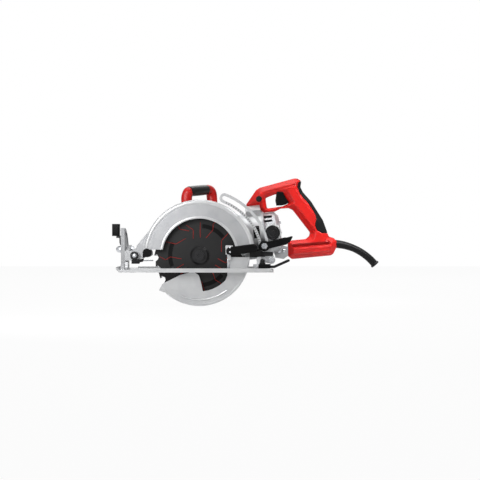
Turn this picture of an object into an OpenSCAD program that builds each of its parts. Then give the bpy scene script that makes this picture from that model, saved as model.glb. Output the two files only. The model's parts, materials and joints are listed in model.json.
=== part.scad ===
// Worm drive circular saw with a left-hand blade, modelled piece by piece.
// Frame: origin on the sole of the foot, under the arbor, in the mid-plane of the blade.
// +X points to the rear handle, +Y to the motor side, +Z up.

/* [Blade] */
// Diameter over the tooth tips
blade_d = 184; // [160:1:186]
// Thickness of the blade
blade_t = 1.8; // [1.2:0.1:2.4]
// Number of teeth
tooth_n = 24; // [18:1:40]
// Depth of a gullet
gullet = 9; // [5:0.5:12]
// Diameter of the arbor hole
blade_bore_d = 15.9; // [14:0.1:18]
// Diameter of the clamping flanges
flange_d = 38; // [34:0.5:44]

/* [Upper guard] */
// Distance from the tooth tips to the outside of the upper guard
guard_over = 20; // [18.5:0.5:23]
// Radial thickness of the guard's rim
guard_rim = 6; // [4:0.5:7]
// Radius of the opening in the near face
guard_open_r = 74; // [60:1:78]
// Outer Y of the near face
guard_near = 21; // [20:0.5:24]
// Outer Y of the far face
guard_far = 17; // [15:0.5:19]
// Thickness of the guard's faces
guard_wall = 3.5; // [2.5:0.5:4]
// Height of the guard's lower ends above the arbor
guard_end_z = 12; // [8:1:20]

/* [Lower guard] */
// Distance from the tooth tips to the outside of the lower guard
lower_over = 9; // [6:0.5:11]
// Thickness of the lower guard's sheet
lower_wall = 2.4; // [1.8:0.1:3]
// Outer Y of the near cheek
lower_near = 15; // [13.5:0.5:16]
// Outer Y of the far cheek
lower_far = 10.4; // [9:0.2:11.5]
// Inner radius of the rear part of the near cheek
lower_inner_r = 72; // [66:1:76]

/* [Arbor and gears] */
// Height of the arbor above the sole at full depth
arbor_h = 33; // [31:0.5:36]
// Diameter of the arbor in its bearings
arbor_d = 17; // [15:0.5:20]
// Normal module of the gear pair
gear_module = 1.8; // [1.6:0.01:1.85]
// Threads on the worm
worm_starts = 4; // [4:1:4]
// Teeth on the worm wheel
wheel_teeth = 19; // [18:1:20]
// Helix angle of the worm in degrees
worm_helix = 60; // [58:1:62]
// Thinning of each tooth for backlash
backlash = 0.24; // [0.2:0.01:0.4]
// Length of the worm
worm_l = 44; // [36:1:48]
// Face width of the worm wheel
wheel_w = 20; // [16:1:24]

/* [Motor] */
// Distance from the upper guard to the motor housing
motor_gap = 3; // [1:0.5:7]
// Rise of the motor axis to the rear in degrees
motor_tilt = 7.3; // [6:0.1:8]
// Outer radius of the field housing
motor_r = 50; // [48:0.5:51]
// Wall of the field housing
motor_wall = 4; // [3:0.5:5]
// Radius of the end cap
end_r = 43; // [40:0.5:46]
// Start of the field housing along the motor axis
motor_x0 = 62; // [60:1:66]
// Seam between the field housing and the end cap
motor_x1 = 134; // [130:1:136]
// Rear face of the end cap
motor_x2 = 170; // [168:1:176]
// Diameter of the armature shaft
shaft_d = 12; // [10:0.5:13]
// Air gap round the armature
air_gap = 0.6; // [0.4:0.1:1]

/* [Foot] */
// Distance from the depth pivot to the front tip of the foot
foot_nose = 35; // [34:0.5:50]
// Distance from the blade slot to the rear edge of the foot
foot_tail = 44; // [42:0.5:56]
// Near edge of the foot
foot_near = 45; // [42:0.5:50]
// Far edge of the foot
foot_far = 104; // [100:1:115]
// Thickness of the foot plate
foot_t = 5.5; // [4:0.5:6.5]
// Distance from the lower guard to each end of the blade slot
slot_gap = 3; // [2.5:0.5:5]
// Near edge of the blade slot
slot_near = 17.5; // [16.5:0.5:18]
// Far edge of the blade slot
slot_far = 36; // [36:0.5:36.5]

/* [Depth adjustment] */
// Distance from the upper guard forward to the depth pivot
pivot_gap = 18; // [16:0.5:22]
// Diameter of the depth pivot pin
pivot_d = 8; // [6:0.5:10]
// Lift of the saw about the depth pivot in degrees
depth_swing = 27.5; // [20:0.5:28]
// Turn of the slotted link for each degree of lift
link_ratio = -0.62; // [-0.66:0.01:-0.58]
// Distance from the upper guard back to the depth clamp bolt
clamp_gap = 18.5; // [17.5:0.1:19.5]
// Height of the depth clamp bolt above the arbor
clamp_z = 19.2; // [18.6:0.1:19.8]
// Distance from the clamp bolt back to the lower pivot of the slotted link
link_back = 14.5; // [13.5:0.1:15.5]
// Height of the link's lower pivot above the arbor
link_z = -9; // [-9.6:0.1:-8.4]
// Width of the slotted link
link_w = 20; // [18:0.5:22]
// Thickness of the slotted link
link_t = 3.5; // [2.5:0.5:4]
// Diameter of the clamp bolt in the slot
clamp_d = 8; // [6:0.5:9]

/* [Bevel adjustment] */
// Y of the bevel axis
bevel_y = -8; // [-10:0.5:-6]
// Height of the bevel axis above the sole
bevel_z = 9.5; // [9:0.5:11]
// Radius of the slot in the front quadrant
quadrant_r = 70; // [66:1:74]
// Bevel range in degrees
bevel_swing = 53; // [45:1:54]
// Angle of the bevel bolt at rest, from the far side
bevel_bolt_a = 30.5; // [28:0.5:34]
// Diameter of the bevel bolt
bevel_bolt_d = 8; // [6:0.5:9]

/* [Handles] */
// Width of the rear handle
handle_w = 34; // [30:1:38]
// Diameter of the grip on the top handle
aux_d = 19; // [17:0.5:22]
// Diameter of the legs of the top handle
aux_leg_d = 19; // [17:0.5:20]
// Outer diameter of the cord boot at its root
boot_d = 17; // [15:0.5:19]
// Bore of the cord boot
boot_bore_d = 9; // [8:0.1:10]

/* [Fits] */
// Radial clearance of a turning pin
pin_fit = 0.06; // [0.03:0.01:0.1]
// Gap between pieces that pass each other
pass_gap = 0.4; // [0.3:0.05:0.6]

/* [Hidden] */
$fn = 96;

// Finishes as the photograph shows them
cast_grey = [0.78, 0.79, 0.8];
sheet_grey = [0.72, 0.73, 0.75];
steel_grey = [0.62, 0.63, 0.65];
black = [0.11, 0.11, 0.12];
red = [0.83, 0.12, 0.1];
bronze = [0.7, 0.5, 0.25];
copper = [0.72, 0.42, 0.2];

// Places worked out from the driving sizes
bevel_pin_d = 6;
ear_r = 6;
screw_d = 5;
screw_head_d = 9;
screw_head_h = 3;
nose_l = 7.4;
nose_rise = 9;
bead_w = 3;
bead_h = 8;
corner_r = 8;

blade_r = blade_d / 2;
guard_r = blade_r + guard_over;
lower_r = blade_r + lower_over;
slot_half = lower_r + slot_gap;
pivot_x = guard_r + pivot_gap;
motor_y = guard_far + motor_gap + motor_r;
clamp_x = guard_r + clamp_gap;
link_x = clamp_x + link_back;
foot_front = pivot_x + foot_nose;
foot_rear = slot_half + foot_tail;

quad_t = 8;
quad_ahead = 28;
quad_x0 = -pivot_x - quad_ahead;
quad_x1 = quad_x0 + quad_t;
clamp_at = [clamp_x, clamp_z];
link_at = [link_x, link_z];
quad_outer = quadrant_r + 9;
bracket_t = 6;
bracket_x0 = quad_x1 + pass_gap;
bracket_x1 = bracket_x0 + bracket_t;
bolt_y = bevel_y + quadrant_r * cos(bevel_bolt_a);
bolt_z = bevel_z + quadrant_r * sin(bevel_bolt_a);
bevel_lever_t = 5;
bevel_lever_x = quad_x0 - pass_gap - bevel_lever_t;

pivot_lug_r = 9;
pivot_lug_half = 10;
fork_t = 5.6;
fork_in = pivot_lug_half + pass_gap;
fork_out = fork_in + fork_t;
fork_r = 10;

rear_ear_x = slot_half + 4;
rear_ear_t = 7;
rear_bracket_x = rear_ear_x + rear_ear_t + pass_gap;
rear_bracket_t = 8;
link_y = 3;
link_ear_t = 4;
link_pin_d = 8;
link_slot_w = clamp_d + 2 * pass_gap;

// Gear pair: crossed helical teeth at a right angle, both right-handed
normal_angle = 20;
wheel_helix = 90 - worm_helix;
worm_pitch_r = worm_starts * gear_module / cos(worm_helix) / 2;
wheel_pitch_r = wheel_teeth * gear_module / cos(wheel_helix) / 2;
gear_cd = worm_pitch_r + wheel_pitch_r;
worm_tip_r = worm_pitch_r + gear_module;
wheel_tip_r = wheel_pitch_r + gear_module;
worm_lead = 2 * PI * worm_pitch_r / tan(worm_helix);
wheel_lead = 2 * PI * wheel_pitch_r / tan(wheel_helix);

// Shared placing and shaping helpers
module at_arbor() translate([0, 0, arbor_h]) children();
module motor_frame() at_arbor() rotate([0, -motor_tilt, 0]) translate([0, motor_y, gear_cd]) children();
module bevel_frame() translate([0, bevel_y, bevel_z]) children();

// Spreads a flat XZ outline along Y between two planes
module along_y(y0, y1) translate([0, y1, 0]) rotate([90, 0, 0]) linear_extrude(y1 - y0) children();
// Spreads a flat YZ outline along X between two planes
module along_x(x0, x1) translate([x0, 0, 0]) rotate([90, 0, 90]) linear_extrude(x1 - x0) children();

module rod_y(r, y0, y1) translate([0, y0, 0]) rotate([-90, 0, 0]) cylinder(r = r, h = y1 - y0);
module rod_x(r, x0, x1) translate([x0, 0, 0]) rotate([0, 90, 0]) cylinder(r = r, h = x1 - x0);
module tube_y(r_out, r_in, y0, y1) along_y(y0, y1) ring(r_out, r_in);
module tube_x(r_out, r_in, x0, x1) along_x(x0, x1) ring(r_out, r_in);
module ring(r_out, r_in) difference() { circle(r_out); circle(r_in); }

module round_plate(x0, x1, y0, y1, r) {
  translate([x0 + r, y0]) square([x1 - x0 - 2 * r, y1 - y0]);
  translate([x0, y0 + r]) square([x1 - x0, y1 - y0 - 2 * r]);
  for (x = [x0 + r, x1 - r], y = [y0 + r, y1 - r]) translate([x, y]) circle(r);
}

// A bar with round ends between two points
// Rounded ends stand this far proud of straight or arc-shaped sides, so that no two curves only touch
seam = 0.02;
function polar(r, a) = r * [cos(a), sin(a)];
module bar(a, b, w) {
  d = b - a;
  translate(a) rotate(atan2(d[1], d[0])) translate([0, seam - w / 2]) square([norm(d), w - 2 * seam]);
  translate(a) circle(w / 2);
  translate(b) circle(w / 2);
}

// A slice of a circle from angle a0 to a1, under a half turn
module slice(r, a0, a1) intersection() {
  circle(r);
  polygon([[0, 0], for (i = [0:4]) 2 * r * [cos(a0 + (a1 - a0) * i / 4), sin(a0 + (a1 - a0) * i / 4)]]);
}
module arc_slot(r, w, a0, a1) {
  difference() { slice(r + w / 2, a0, a1); circle(r - w / 2); }
  for (a = [a0, a1]) rotate(a) translate([r, 0]) circle(w / 2 + seam);
}

// The foot and what is fixed to it
module foot_side() polygon([
  [-foot_front + nose_l, 0], [foot_rear, 0], [foot_rear, foot_t], [-foot_front + nose_l - 1, foot_t],
  [-foot_front + 6, foot_t + 2], [-foot_front + 2, nose_rise + 2], [-foot_front, nose_rise],
  [-foot_front + 2, nose_rise - 4], [-foot_front + 6, 1.5]
]);

module quadrant_outline() {
  intersection() {
    slice(quad_outer, 0, 96);
    translate([-20, foot_t - bevel_z]) square([quad_outer + 40, quad_outer + 20]);
  }
  translate([-ear_r - 2, foot_t - bevel_z]) square([quad_outer + ear_r + 2, bevel_z]);
}

module foot_plate() color(cast_grey) {
  difference() {
    union() {
      intersection() {
        along_y(-foot_near, foot_far) foot_side();
        linear_extrude(nose_rise + 4) round_plate(-foot_front, foot_rear, -foot_near, foot_far, corner_r);
      }
      translate([-foot_front + 30, -foot_near, foot_t])
        cube([foot_front + foot_rear - 34, bead_w, bead_h - foot_t]);
      translate([-foot_front + 30, foot_far - bead_w, foot_t])
        cube([foot_front + foot_rear - 34, bead_w, bead_h - foot_t]);
    }
    translate([-slot_half, -slot_near, -1]) cube([2 * slot_half, slot_near + slot_far, bead_h]);
    bevel_frame() rod_x(ear_r + pass_gap, bracket_x0 - pass_gap, bracket_x1 + pass_gap);
    bevel_frame()
      rod_x(ear_r + pass_gap, rear_bracket_x - pass_gap, rear_bracket_x + rear_bracket_t + pass_gap);
    quadrant_holes() cylinder(d = screw_d, h = foot_t * 4, center = true);
  }
}

module quadrant_holes() for (y = [bevel_y + 20, bevel_y + 64])
  translate([(quad_x0 + quad_x1) / 2, y, foot_t]) children();

module bevel_quadrant() color(cast_grey) difference() {
  bevel_frame() along_x(quad_x0, quad_x1) difference() {
    quadrant_outline();
    arc_slot(quadrant_r, bevel_bolt_d + 2 * pass_gap, bevel_bolt_a - 1, bevel_bolt_a + bevel_swing + 1);
    arc_slot(quadrant_r * 0.5, quadrant_r * 0.3, 34, 72);
    circle(bevel_pin_d / 2);
  }
  quadrant_holes() cylinder(d = screw_d, h = 24, center = true);
}

module quadrant_screws() color(steel_grey) quadrant_holes() translate([0, 0, -foot_t + 0.6])
  cylinder(d = screw_d, h = foot_t + 9);

module rear_ear() color(cast_grey) bevel_frame() along_x(rear_ear_x, rear_ear_x + rear_ear_t) difference() {
  union() {
    circle(ear_r);
    translate([-ear_r - 3, foot_t - bevel_z]) square([2 * ear_r + 6, bevel_z - foot_t]);
  }
  circle(bevel_pin_d / 2);
  translate([-20, foot_t - bevel_z - 10]) square([40, 10]);
}

module bevel_pins() color(steel_grey) bevel_frame() {
  rod_x(bevel_pin_d / 2, quad_x0, bracket_x1);
  rod_x(bevel_pin_d / 2, rear_ear_x, rear_bracket_x + rear_bracket_t);
}

// Holder for the blade wrench, with the wrench's slide inside it
holder_l = 24;
holder_x1 = foot_rear - 6;
holder_x0 = holder_x1 - holder_l;
holder_y0 = -foot_near + bead_w + 1;
holder_w = 17;
holder_h = 11;
wrench_w = 11;
wrench_t = 5;
wrench_bend = 24;
wrench_tail = 34;
wrench_z = foot_t + 3;

module wrench_holder() color(black) difference() {
  translate([holder_x0, holder_y0, foot_t]) cube([holder_x1 - holder_x0, holder_w, holder_h]);
  translate([holder_x0 + 3, holder_y0 + (holder_w - wrench_w) / 2 - pass_gap, wrench_z - pass_gap])
    cube([holder_x1 - holder_x0, wrench_w + 2 * pass_gap, wrench_t + 2 * pass_gap]);
}

module blade_wrench() color(black) translate([0, holder_y0 + (holder_w - wrench_w) / 2, wrench_z])
  difference() {
    along_y(0, wrench_w) {
      translate([holder_x0 + 4, 0]) square([holder_x1 - holder_x0 + 4, wrench_t]);
      translate([holder_x1 + 8, 0]) rotate(wrench_bend)
        bar([1, wrench_t / 2], [wrench_tail - wrench_t / 2, wrench_t / 2], wrench_t);
    }
    translate([holder_x1 + 8, wrench_w / 2, 0]) rotate([0, -wrench_bend, 0])
      translate([wrench_tail - 8, 0, 0]) cylinder(d = 6.4, h = 20, center = true);
  }

bumper_x = holder_x0 + 8;
bumper_d = 12;
bumper_h = 11.5;
module bumper() color(black) translate([bumper_x, holder_y0 + holder_w / 2, foot_t + holder_h])
  rotate_extrude() {
    square([bumper_d / 2 - 1, bumper_h - bumper_d / 2]);
    square([bumper_d / 2, 3]);
    translate([0, bumper_h - bumper_d / 2]) intersection() { circle(bumper_d / 2 - 1); square(bumper_d); }
  }

guide_x = -118;
guide_l = 18;
module line_guide() color(sheet_grey) difference() {
  translate([guide_x, -foot_near + bead_w + 1, foot_t]) cube([guide_l, foot_near - bead_w - 2, 2]);
  for (x = [4, guide_l - 4]) translate([guide_x + x, -bead_w - 4, 0])
    cylinder(d = 3, h = 20);
}

// The tilting frame between the foot and the saw
pivot_rel = [-bevel_y, arbor_h - bevel_z];
bolt_rel = quadrant_r * [cos(bevel_bolt_a), sin(bevel_bolt_a)];
pivot_at = [-pivot_x, 0];

module front_bracket() color(cast_grey) {
  bevel_frame() along_x(bracket_x0, bracket_x1) difference() {
    union() {
      circle(ear_r);
      bar([0, 0], pivot_rel, 2 * ear_r);
      bar(pivot_rel, bolt_rel, 18);
      translate([pivot_rel[0] - fork_out, pivot_rel[1] - fork_r]) square(2 * [fork_out, fork_r]);
    }
    circle(bevel_pin_d / 2 + pin_fit);
    translate(bolt_rel) circle(bevel_bolt_d / 2);
  }
  for (y = [-fork_out, fork_in]) at_arbor() along_y(y, y + fork_t) difference() {
    union() {
      translate([bracket_x1 - 1, -fork_r]) square([-pivot_x - bracket_x1 + 1, 2 * fork_r]);
      translate(pivot_at) circle(fork_r);
    }
    translate(pivot_at) circle(pivot_d / 2);
  }
}

module pivot_pin() color(steel_grey) at_arbor() translate([-pivot_x, 0, 0]) {
  rod_y(pivot_d / 2, -fork_out, fork_out + 2);
  rod_y(pivot_d * 0.8, -fork_out - 4, -fork_out);
  translate([0, fork_out + 6, 0]) rotate([90, 0, 0]) cylinder(d = pivot_d * 1.7, h = 6, $fn = 6);
}

dome_r = 6.5;
module bevel_bolt() color(steel_grey) translate([0, bolt_y, bolt_z]) {
  rod_x(bevel_bolt_d / 2, bevel_lever_x - pass_gap, bracket_x1);
  rotate([0, 90, 0]) translate([0, 0, bevel_lever_x - pass_gap - dome_r]) rotate_extrude() intersection() {
    translate([0, dome_r]) circle(dome_r);
    square([dome_r, dome_r]);
  }
  rod_x(bevel_bolt_d * 0.8, bracket_x1, bracket_x1 + 5);
}

lever_rise = 27.5;
lever_reach = 11;
lever_tip_l = 25;
lever_tip_t = 15;
module bevel_lever() color(steel_grey) {
  along_x(bevel_lever_x, bevel_lever_x + bevel_lever_t) translate([bolt_y, bolt_z]) difference() {
    union() {
      circle(9);
      translate([-6, 0]) square([12, lever_rise]);
    }
    circle(bevel_bolt_d / 2 + pin_fit);
  }
  translate([bevel_lever_x - lever_reach, bolt_y - 6, bolt_z + lever_rise - 4])
    cube([lever_reach + bevel_lever_t, 12, 4]);
}

module bevel_lever_tip() color(black)
  translate([bevel_lever_x - lever_reach - 8.6, bolt_y, bolt_z + lever_rise])
  along_x(0, lever_tip_t) round_plate(-9, 9, 0, lever_tip_l, 4);

module rear_bracket() color(cast_grey) {
  arm_y = link_y - pass_gap;
  arm_z = link_at[1] + arbor_h;
  bevel_frame() along_x(rear_bracket_x, rear_bracket_x + rear_bracket_t) difference() {
    union() {
      circle(ear_r);
      bar([0, 0], [arm_y - link_ear_t / 2 - bevel_y, arm_z - bevel_z], 2 * ear_r);
    }
    circle(bevel_pin_d / 2 + pin_fit);
    translate([arm_y - bevel_y, 0]) square(40);
  }
  along_y(arm_y - link_ear_t, arm_y) difference() {
    bar([rear_bracket_x + 6, arm_z], [link_at[0], arm_z], 13);
    translate([link_at[0], arm_z]) circle(link_pin_d / 2);
  }
}

module link_pin() color(steel_grey) translate([link_at[0], 0, link_at[1] + arbor_h]) {
  rod_y(link_pin_d / 2, link_y - pass_gap - link_ear_t, link_y + link_t + pass_gap);
  rod_y(link_pin_d * 0.8, link_y + link_t + pass_gap, link_y + link_t + pass_gap + 3);
  translate([0, link_y - pass_gap - link_ear_t, 0]) rotate([90, 0, 0]) cylinder(d = 14, h = 6, $fn = 6);
}

// The slotted link: its slot is the path that the clamp bolt takes past it
function turned(a, v) = [cos(a) * v[0] - sin(a) * v[1], sin(a) * v[0] + cos(a) * v[1]];
function lifted(f) = pivot_at + turned(f, clamp_at - pivot_at);
function slot_pt(f) = link_at + turned(-link_ratio * f, lifted(f) - link_at);
function slot_dir(f) = slot_pt(f + 0.01) - slot_pt(f - 0.01);
function slot_angle(f) = atan2(slot_dir(f)[1], slot_dir(f)[0]);
function beside(f, off) = slot_pt(f) + off * [cos(slot_angle(f) + 90), sin(slot_angle(f) + 90)];
function cap(f, r, a0) = [for (i = [1:7]) slot_pt(f) + r * [cos(a0 - i * 22.5), sin(a0 - i * 22.5)]];
link_steps = 14;
slot_over = 0.4;
slot_a0 = -slot_over;
slot_a1 = depth_swing + slot_over;
module along_slot(w) polygon(concat(
  [for (i = [0:link_steps]) beside(slot_a0 + (slot_a1 - slot_a0) * i / link_steps, w / 2)],
  cap(slot_a1, w / 2, slot_angle(slot_a1) + 90),
  [for (i = [0:link_steps]) beside(slot_a1 + (slot_a0 - slot_a1) * i / link_steps, -w / 2)],
  cap(slot_a0, w / 2, slot_angle(slot_a0) - 90)
));

module depth_link() color(steel_grey) at_arbor() difference() {
  union() {
    along_y(link_y, link_y + link_t) along_slot(link_w);
    along_y(link_y, link_y + link_t) bar(clamp_at, link_at, link_w * 0.8);
  }
  along_y(link_y - 1, link_y + link_t + 1) along_slot(link_slot_w);
  translate([link_at[0], 0, link_at[1]]) rod_y(link_pin_d / 2 + pin_fit, link_y - 1, link_y + link_t + 1);
}

// The upper guard with its front pivot lug
neck_r = 24;
neck_y = 7;
hub_plate_r = 37;
module above(z) intersection() {
  children();
  translate([-2 * guard_r, z]) square(4 * guard_r);
}

hub_screws_r = 32;
foot_gap = 1.2;
low_z = foot_t + foot_gap - arbor_h;
module hub_screw_places() for (a = [20, 70, 110, 160])
  rotate([0, -a, 0]) translate([hub_screws_r, 0, 0]) children();

// Web from the guard's rim to the pivot, and the black dome in front of the blade
web_l = 50;
web_a = 47;
web_low_a = 182.5;
deflector_r = 8.8;
deflector_x = -guard_r + 7.3;
deflector_z = 5.5;
module deflector_dome() {
  translate([deflector_x, deflector_z]) circle(deflector_r);
  polygon([
    [deflector_x - deflector_r, deflector_z], [deflector_x - deflector_r + 0.2, -4.5], [deflector_x + deflector_r - 0.1, 0.6],
    [deflector_x + deflector_r, deflector_z]
  ]);
}
module upper_guard() color(cast_grey) at_arbor() {
  difference() {
    union() {
      along_y(-guard_near, -guard_near + guard_wall) above(guard_end_z) ring(guard_r, guard_open_r);
      along_y(-guard_near, guard_far) above(guard_end_z) ring(guard_r, guard_r - guard_rim);
      along_y(guard_far - guard_wall, guard_far) {
        above(guard_end_z) circle(guard_r);
        above(low_z) circle(hub_plate_r);
      }
      along_y(-pivot_lug_half, pivot_lug_half) difference() {
        union() {
          bar(pivot_at, pivot_at + web_l * [cos(web_a), sin(web_a)], 2 * pivot_lug_r);
          polygon([
            pivot_at + [0, -pivot_lug_r + 1], polar(guard_r, web_low_a), polar(guard_r, 180 - web_a), pivot_at
          ]);
        }
        circle(guard_r - guard_rim);
      }
    }
    along_y(-guard_near - 1, guard_far - guard_wall) deflector_dome();
    rod_y(neck_r, guard_far - guard_wall - 1, guard_far + 1);
    translate([-pivot_x, 0, 0]) rod_y(pivot_d / 2 + pin_fit, -pivot_lug_half - 1, pivot_lug_half + 1);
    hub_screw_places() rod_y(screw_d / 2, guard_far - guard_wall - 1, guard_far + 1);
  }
}

module guard_screws() color(steel_grey) at_arbor() hub_screw_places()
  rod_y(screw_d / 2, guard_far - guard_wall + 0.4, guard_far + drum_flange_t);

module chip_deflector() color(black) at_arbor() {
  along_y(-guard_near + guard_wall, guard_far - guard_wall) difference() {
    slice(guard_r - guard_rim, 146, 176);
    circle(guard_r - guard_rim - 2.4);
  }
  along_y(-guard_near + 0.6, guard_far - guard_wall) deflector_dome();
}

// Gear housing: a drum round the arbor crossed by a tube round the worm
drum_r = -low_z;
drum_flange_r = 34;
drum_flange_t = 6;
cavity_r = wheel_tip_r + 2;
wheel_gap = 3;
cavity_y0 = motor_y - wheel_w / 2 - wheel_gap;
cavity_y1 = motor_y + wheel_w / 2 + wheel_gap;
arbor_brg_r = 20;
arbor_brg_w = 12;
near_brg_y = 22;
far_brg_y = cavity_y1 + 2;
tube_r = 22;
worm_x0 = -worm_l / 2;
front_brg_x = worm_x0 - 16;
mid_brg_x = -worm_x0 + 6;
worm_brg_r = 13;
worm_brg_w = 11;
aux_pad_r = 8;
aux_near = [-26, guard_far + aux_leg_d / 2 + 0.6];
aux_far = [24, motor_y + 18];
aux_near_z = 84;
aux_far_z = 80;

module aux_post(at, z0, z1) at_arbor() translate([at[0], at[1], z0]) cylinder(r = aux_pad_r, h = z1 - z0);

module gear_housing() color(cast_grey) {
  difference() {
    union() {
      at_arbor() rod_y(drum_r, guard_far, cavity_y1);
      at_arbor() along_y(guard_far, guard_far + drum_flange_t) above(low_z) circle(hub_plate_r);
      at_arbor() along_y(cavity_y1 - drum_flange_t, cavity_y1) above(low_z) circle(drum_flange_r);
      at_arbor() rod_y(neck_r, neck_y, guard_far);
      motor_frame() rod_x(tube_r, front_brg_x - 5, motor_x0);
      motor_frame() rod_x(motor_r, motor_x0 - 6, motor_x0);
      aux_post(aux_near, arbor_d / 2 + 2, aux_near_z);
      aux_post(aux_far, gear_cd, aux_far_z);
    }
    at_arbor() rod_y(cavity_r, cavity_y0, cavity_y1 + 1);
    at_arbor() rod_y(arbor_brg_r, near_brg_y, near_brg_y + arbor_brg_w);
    at_arbor() rod_y(arbor_brg_r, cavity_y1 - 1, far_brg_y + arbor_brg_w);
    at_arbor() rod_y(arbor_d / 2 + 2, neck_y - 1, cavity_y0 + 1);
    motor_frame() rod_x(worm_tip_r + 1, worm_x0 - 6, mid_brg_x + 1);
    motor_frame() rod_x(worm_brg_r, front_brg_x, front_brg_x + worm_brg_w);
    motor_frame() rod_x(shaft_d / 2 + 2, front_brg_x, motor_x0 + 1);
    motor_frame() rod_x(worm_brg_r, mid_brg_x, mid_brg_x + worm_brg_w);
    motor_frame() rod_x(motor_r - motor_wall - 2, motor_x0 - 3, motor_x0 + 1);
    at_arbor() hub_screw_places() rod_y(screw_d / 2, guard_far - 1, guard_far + drum_flange_t + 1);
    cover_screw_places() rod_y(screw_d / 2, cavity_y1 - drum_flange_t - 1, cavity_y1 + 1);
    oil_place() cylinder(d = oil_plug_d, h = 40, center = true);
    lock_place() rod_x(lock_d / 2 + pin_fit, -drum_r - 1, 0);
  }
}

cover_t = 6;
cover_screws_r = 29;
module cover_screw_places() at_arbor() for (a = [-38, -8, 188, 218]) rotate([0, -a, 0])
  translate([cover_screws_r, 0, 0]) children();

module gear_cover() color(cast_grey) difference() {
  at_arbor() {
    along_y(cavity_y1, cavity_y1 + cover_t) above(low_z) circle(drum_flange_r);
    rod_y(arbor_brg_r + 4, cavity_y1, far_brg_y + arbor_brg_w + 3);
  }
  at_arbor() rod_y(arbor_brg_r, cavity_y1 - 1, far_brg_y + arbor_brg_w);
  cover_screw_places() rod_y(screw_d / 2, cavity_y1 - 1, cavity_y1 + cover_t + 1);
  motor_frame() rod_x(tube_r, front_brg_x - 5, motor_x0);
  aux_post(aux_far, gear_cd, aux_far_z);
}

module cover_screws() color(steel_grey) cover_screw_places() {
  rod_y(screw_d / 2, cavity_y1 - drum_flange_t, cavity_y1 + cover_t);
  rod_y(screw_head_d / 2 - 1, cavity_y1 + cover_t, cavity_y1 + cover_t + screw_head_h);
}

oil_plug_d = 10;
module oil_place() motor_frame() translate([-14, 0, tube_r - 6]) children();
module oil_plug() color(steel_grey) oil_place() {
  cylinder(d = oil_plug_d, h = 6);
  translate([0, 0, 6]) cylinder(d = oil_plug_d + 5, h = 5, $fn = 6);
}

// The push button that locks the arbor for a blade change
lock_d = 8;
lock_head_d = 14;
module lock_place() at_arbor() translate([0, near_brg_y + arbor_brg_w + 8, 0]) children();
module lock_button() color(black) lock_place() {
  rod_x(lock_d / 2, -drum_r - 6, -arbor_d / 2 - 5);
  rod_x(lock_head_d / 2, -drum_r - 12, -drum_r - 6);
}

// Motor: field housing, end cap and what they hold
stator_x0 = motor_x0 + 18;
stator_x1 = motor_x1 - 8;
stator_in_r = 28;
brush_x = motor_x1 + 18.4;
brush_boss_r = 18;
brush_cap_r = 14.8;
brush_boss_y = 58;
brush_cap_y = 62;
brush_w = 6;
brush_tube_r = 6;
comm_r = 14;
comm_x0 = motor_x1 + 8;
comm_x1 = motor_x1 + 22;
rear_brg_r = 11;
rear_brg_x0 = motor_x2 - 12;
rear_brg_x1 = motor_x2 - 4;
cap_wall = 4;

// Cast saddle on top of the housing that carries the front of the rear handle
saddle_rise = 12;
saddle_l = 30;
saddle_half = 36.5;
saddle_r = motor_r + saddle_rise;
module saddle() along_x(motor_x1 - saddle_l, motor_x1) intersection() {
  circle(saddle_r);
  polygon([
    [-27, motor_r - 20], [-saddle_half, saddle_r - 11], [-saddle_half, saddle_r + 1],
    [saddle_half, saddle_r + 1], [saddle_half, saddle_r - 11], [27, motor_r - 20]
  ]);
}
module motor_housing() color(cast_grey) motor_frame() difference() {
  union() {
    rod_x(motor_r, motor_x0, motor_x1);
    saddle();
  }
  rod_x(motor_r - motor_wall, motor_x0 - 1, motor_x1 + 1);
  for (i = [0:3]) translate([motor_x0 + 4, 0, 0]) rotate([200 + 15 * i, 0, 0])
    translate([0, motor_r - motor_wall - 2, -2]) cube([12, motor_wall + 4, 4]);
}

module end_profile() polygon([
  [rear_brg_r, motor_x2], [end_r - 8, motor_x2], [end_r, motor_x2 - 8], [end_r, motor_x1 + 9],
  [motor_r, motor_x1 + 3], [motor_r, motor_x1], [motor_r - motor_wall, motor_x1],
  [motor_r - motor_wall, motor_x1 + 2], [end_r - cap_wall, motor_x1 + 8],
  [end_r - cap_wall, motor_x2 - 9], [end_r - 10, rear_brg_x1], [rear_brg_r + 4, rear_brg_x1],
  [rear_brg_r + 4, rear_brg_x0], [rear_brg_r, rear_brg_x0]
]);

// Both brushes point at the commutator, one from each side
module brush_places() for (s = [-1, 1]) translate([brush_x, 0, 0]) rotate([-90 * s, 0, 0]) children();

module end_cap() color(cast_grey) motor_frame() difference() {
  union() {
    rotate([0, 90, 0]) rotate_extrude() end_profile();
    difference() {
      brush_places() translate([0, 0, end_r - cap_wall - 8])
        cylinder(r = brush_boss_r, h = brush_boss_y - end_r + 12);
      rod_x(end_r - cap_wall, brush_x - 30, brush_x + 30);
    }
  }
  brush_places() cylinder(r = brush_tube_r, h = brush_cap_y);
  for (z = [23, 31.5]) translate([motor_x1 + 5, -end_r - 8, z]) cube([17, end_r, 4.5]);
}

module rear_plate_screws() motor_frame() for (a = [45:90:315]) rotate([a, 0, 0])
  translate([0, end_r - 14, 0]) rod_x(screw_head_d / 2, motor_x2, motor_x2 + screw_head_h);

module stator_core() color(steel_grey) motor_frame()
  tube_x(motor_r - motor_wall, stator_in_r, stator_x0, stator_x1);

module field_windings() color(copper) motor_frame() for (x = [stator_x0 - 8, stator_x1])
  for (s = [0, 180]) rotate([s, 0, 0]) difference() {
    along_x(x, x + 8) difference() {
      slice(motor_r - motor_wall - 4, 25, 155);
      circle(stator_in_r + 3);
    }
  }

module brush_holders() color(bronze) motor_frame() brush_places()
  translate([0, 0, comm_r + 2]) linear_extrude(brush_boss_y - comm_r - 2) difference() {
    circle(brush_tube_r);
    square([brush_w, brush_w], center = true);
  }

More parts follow.
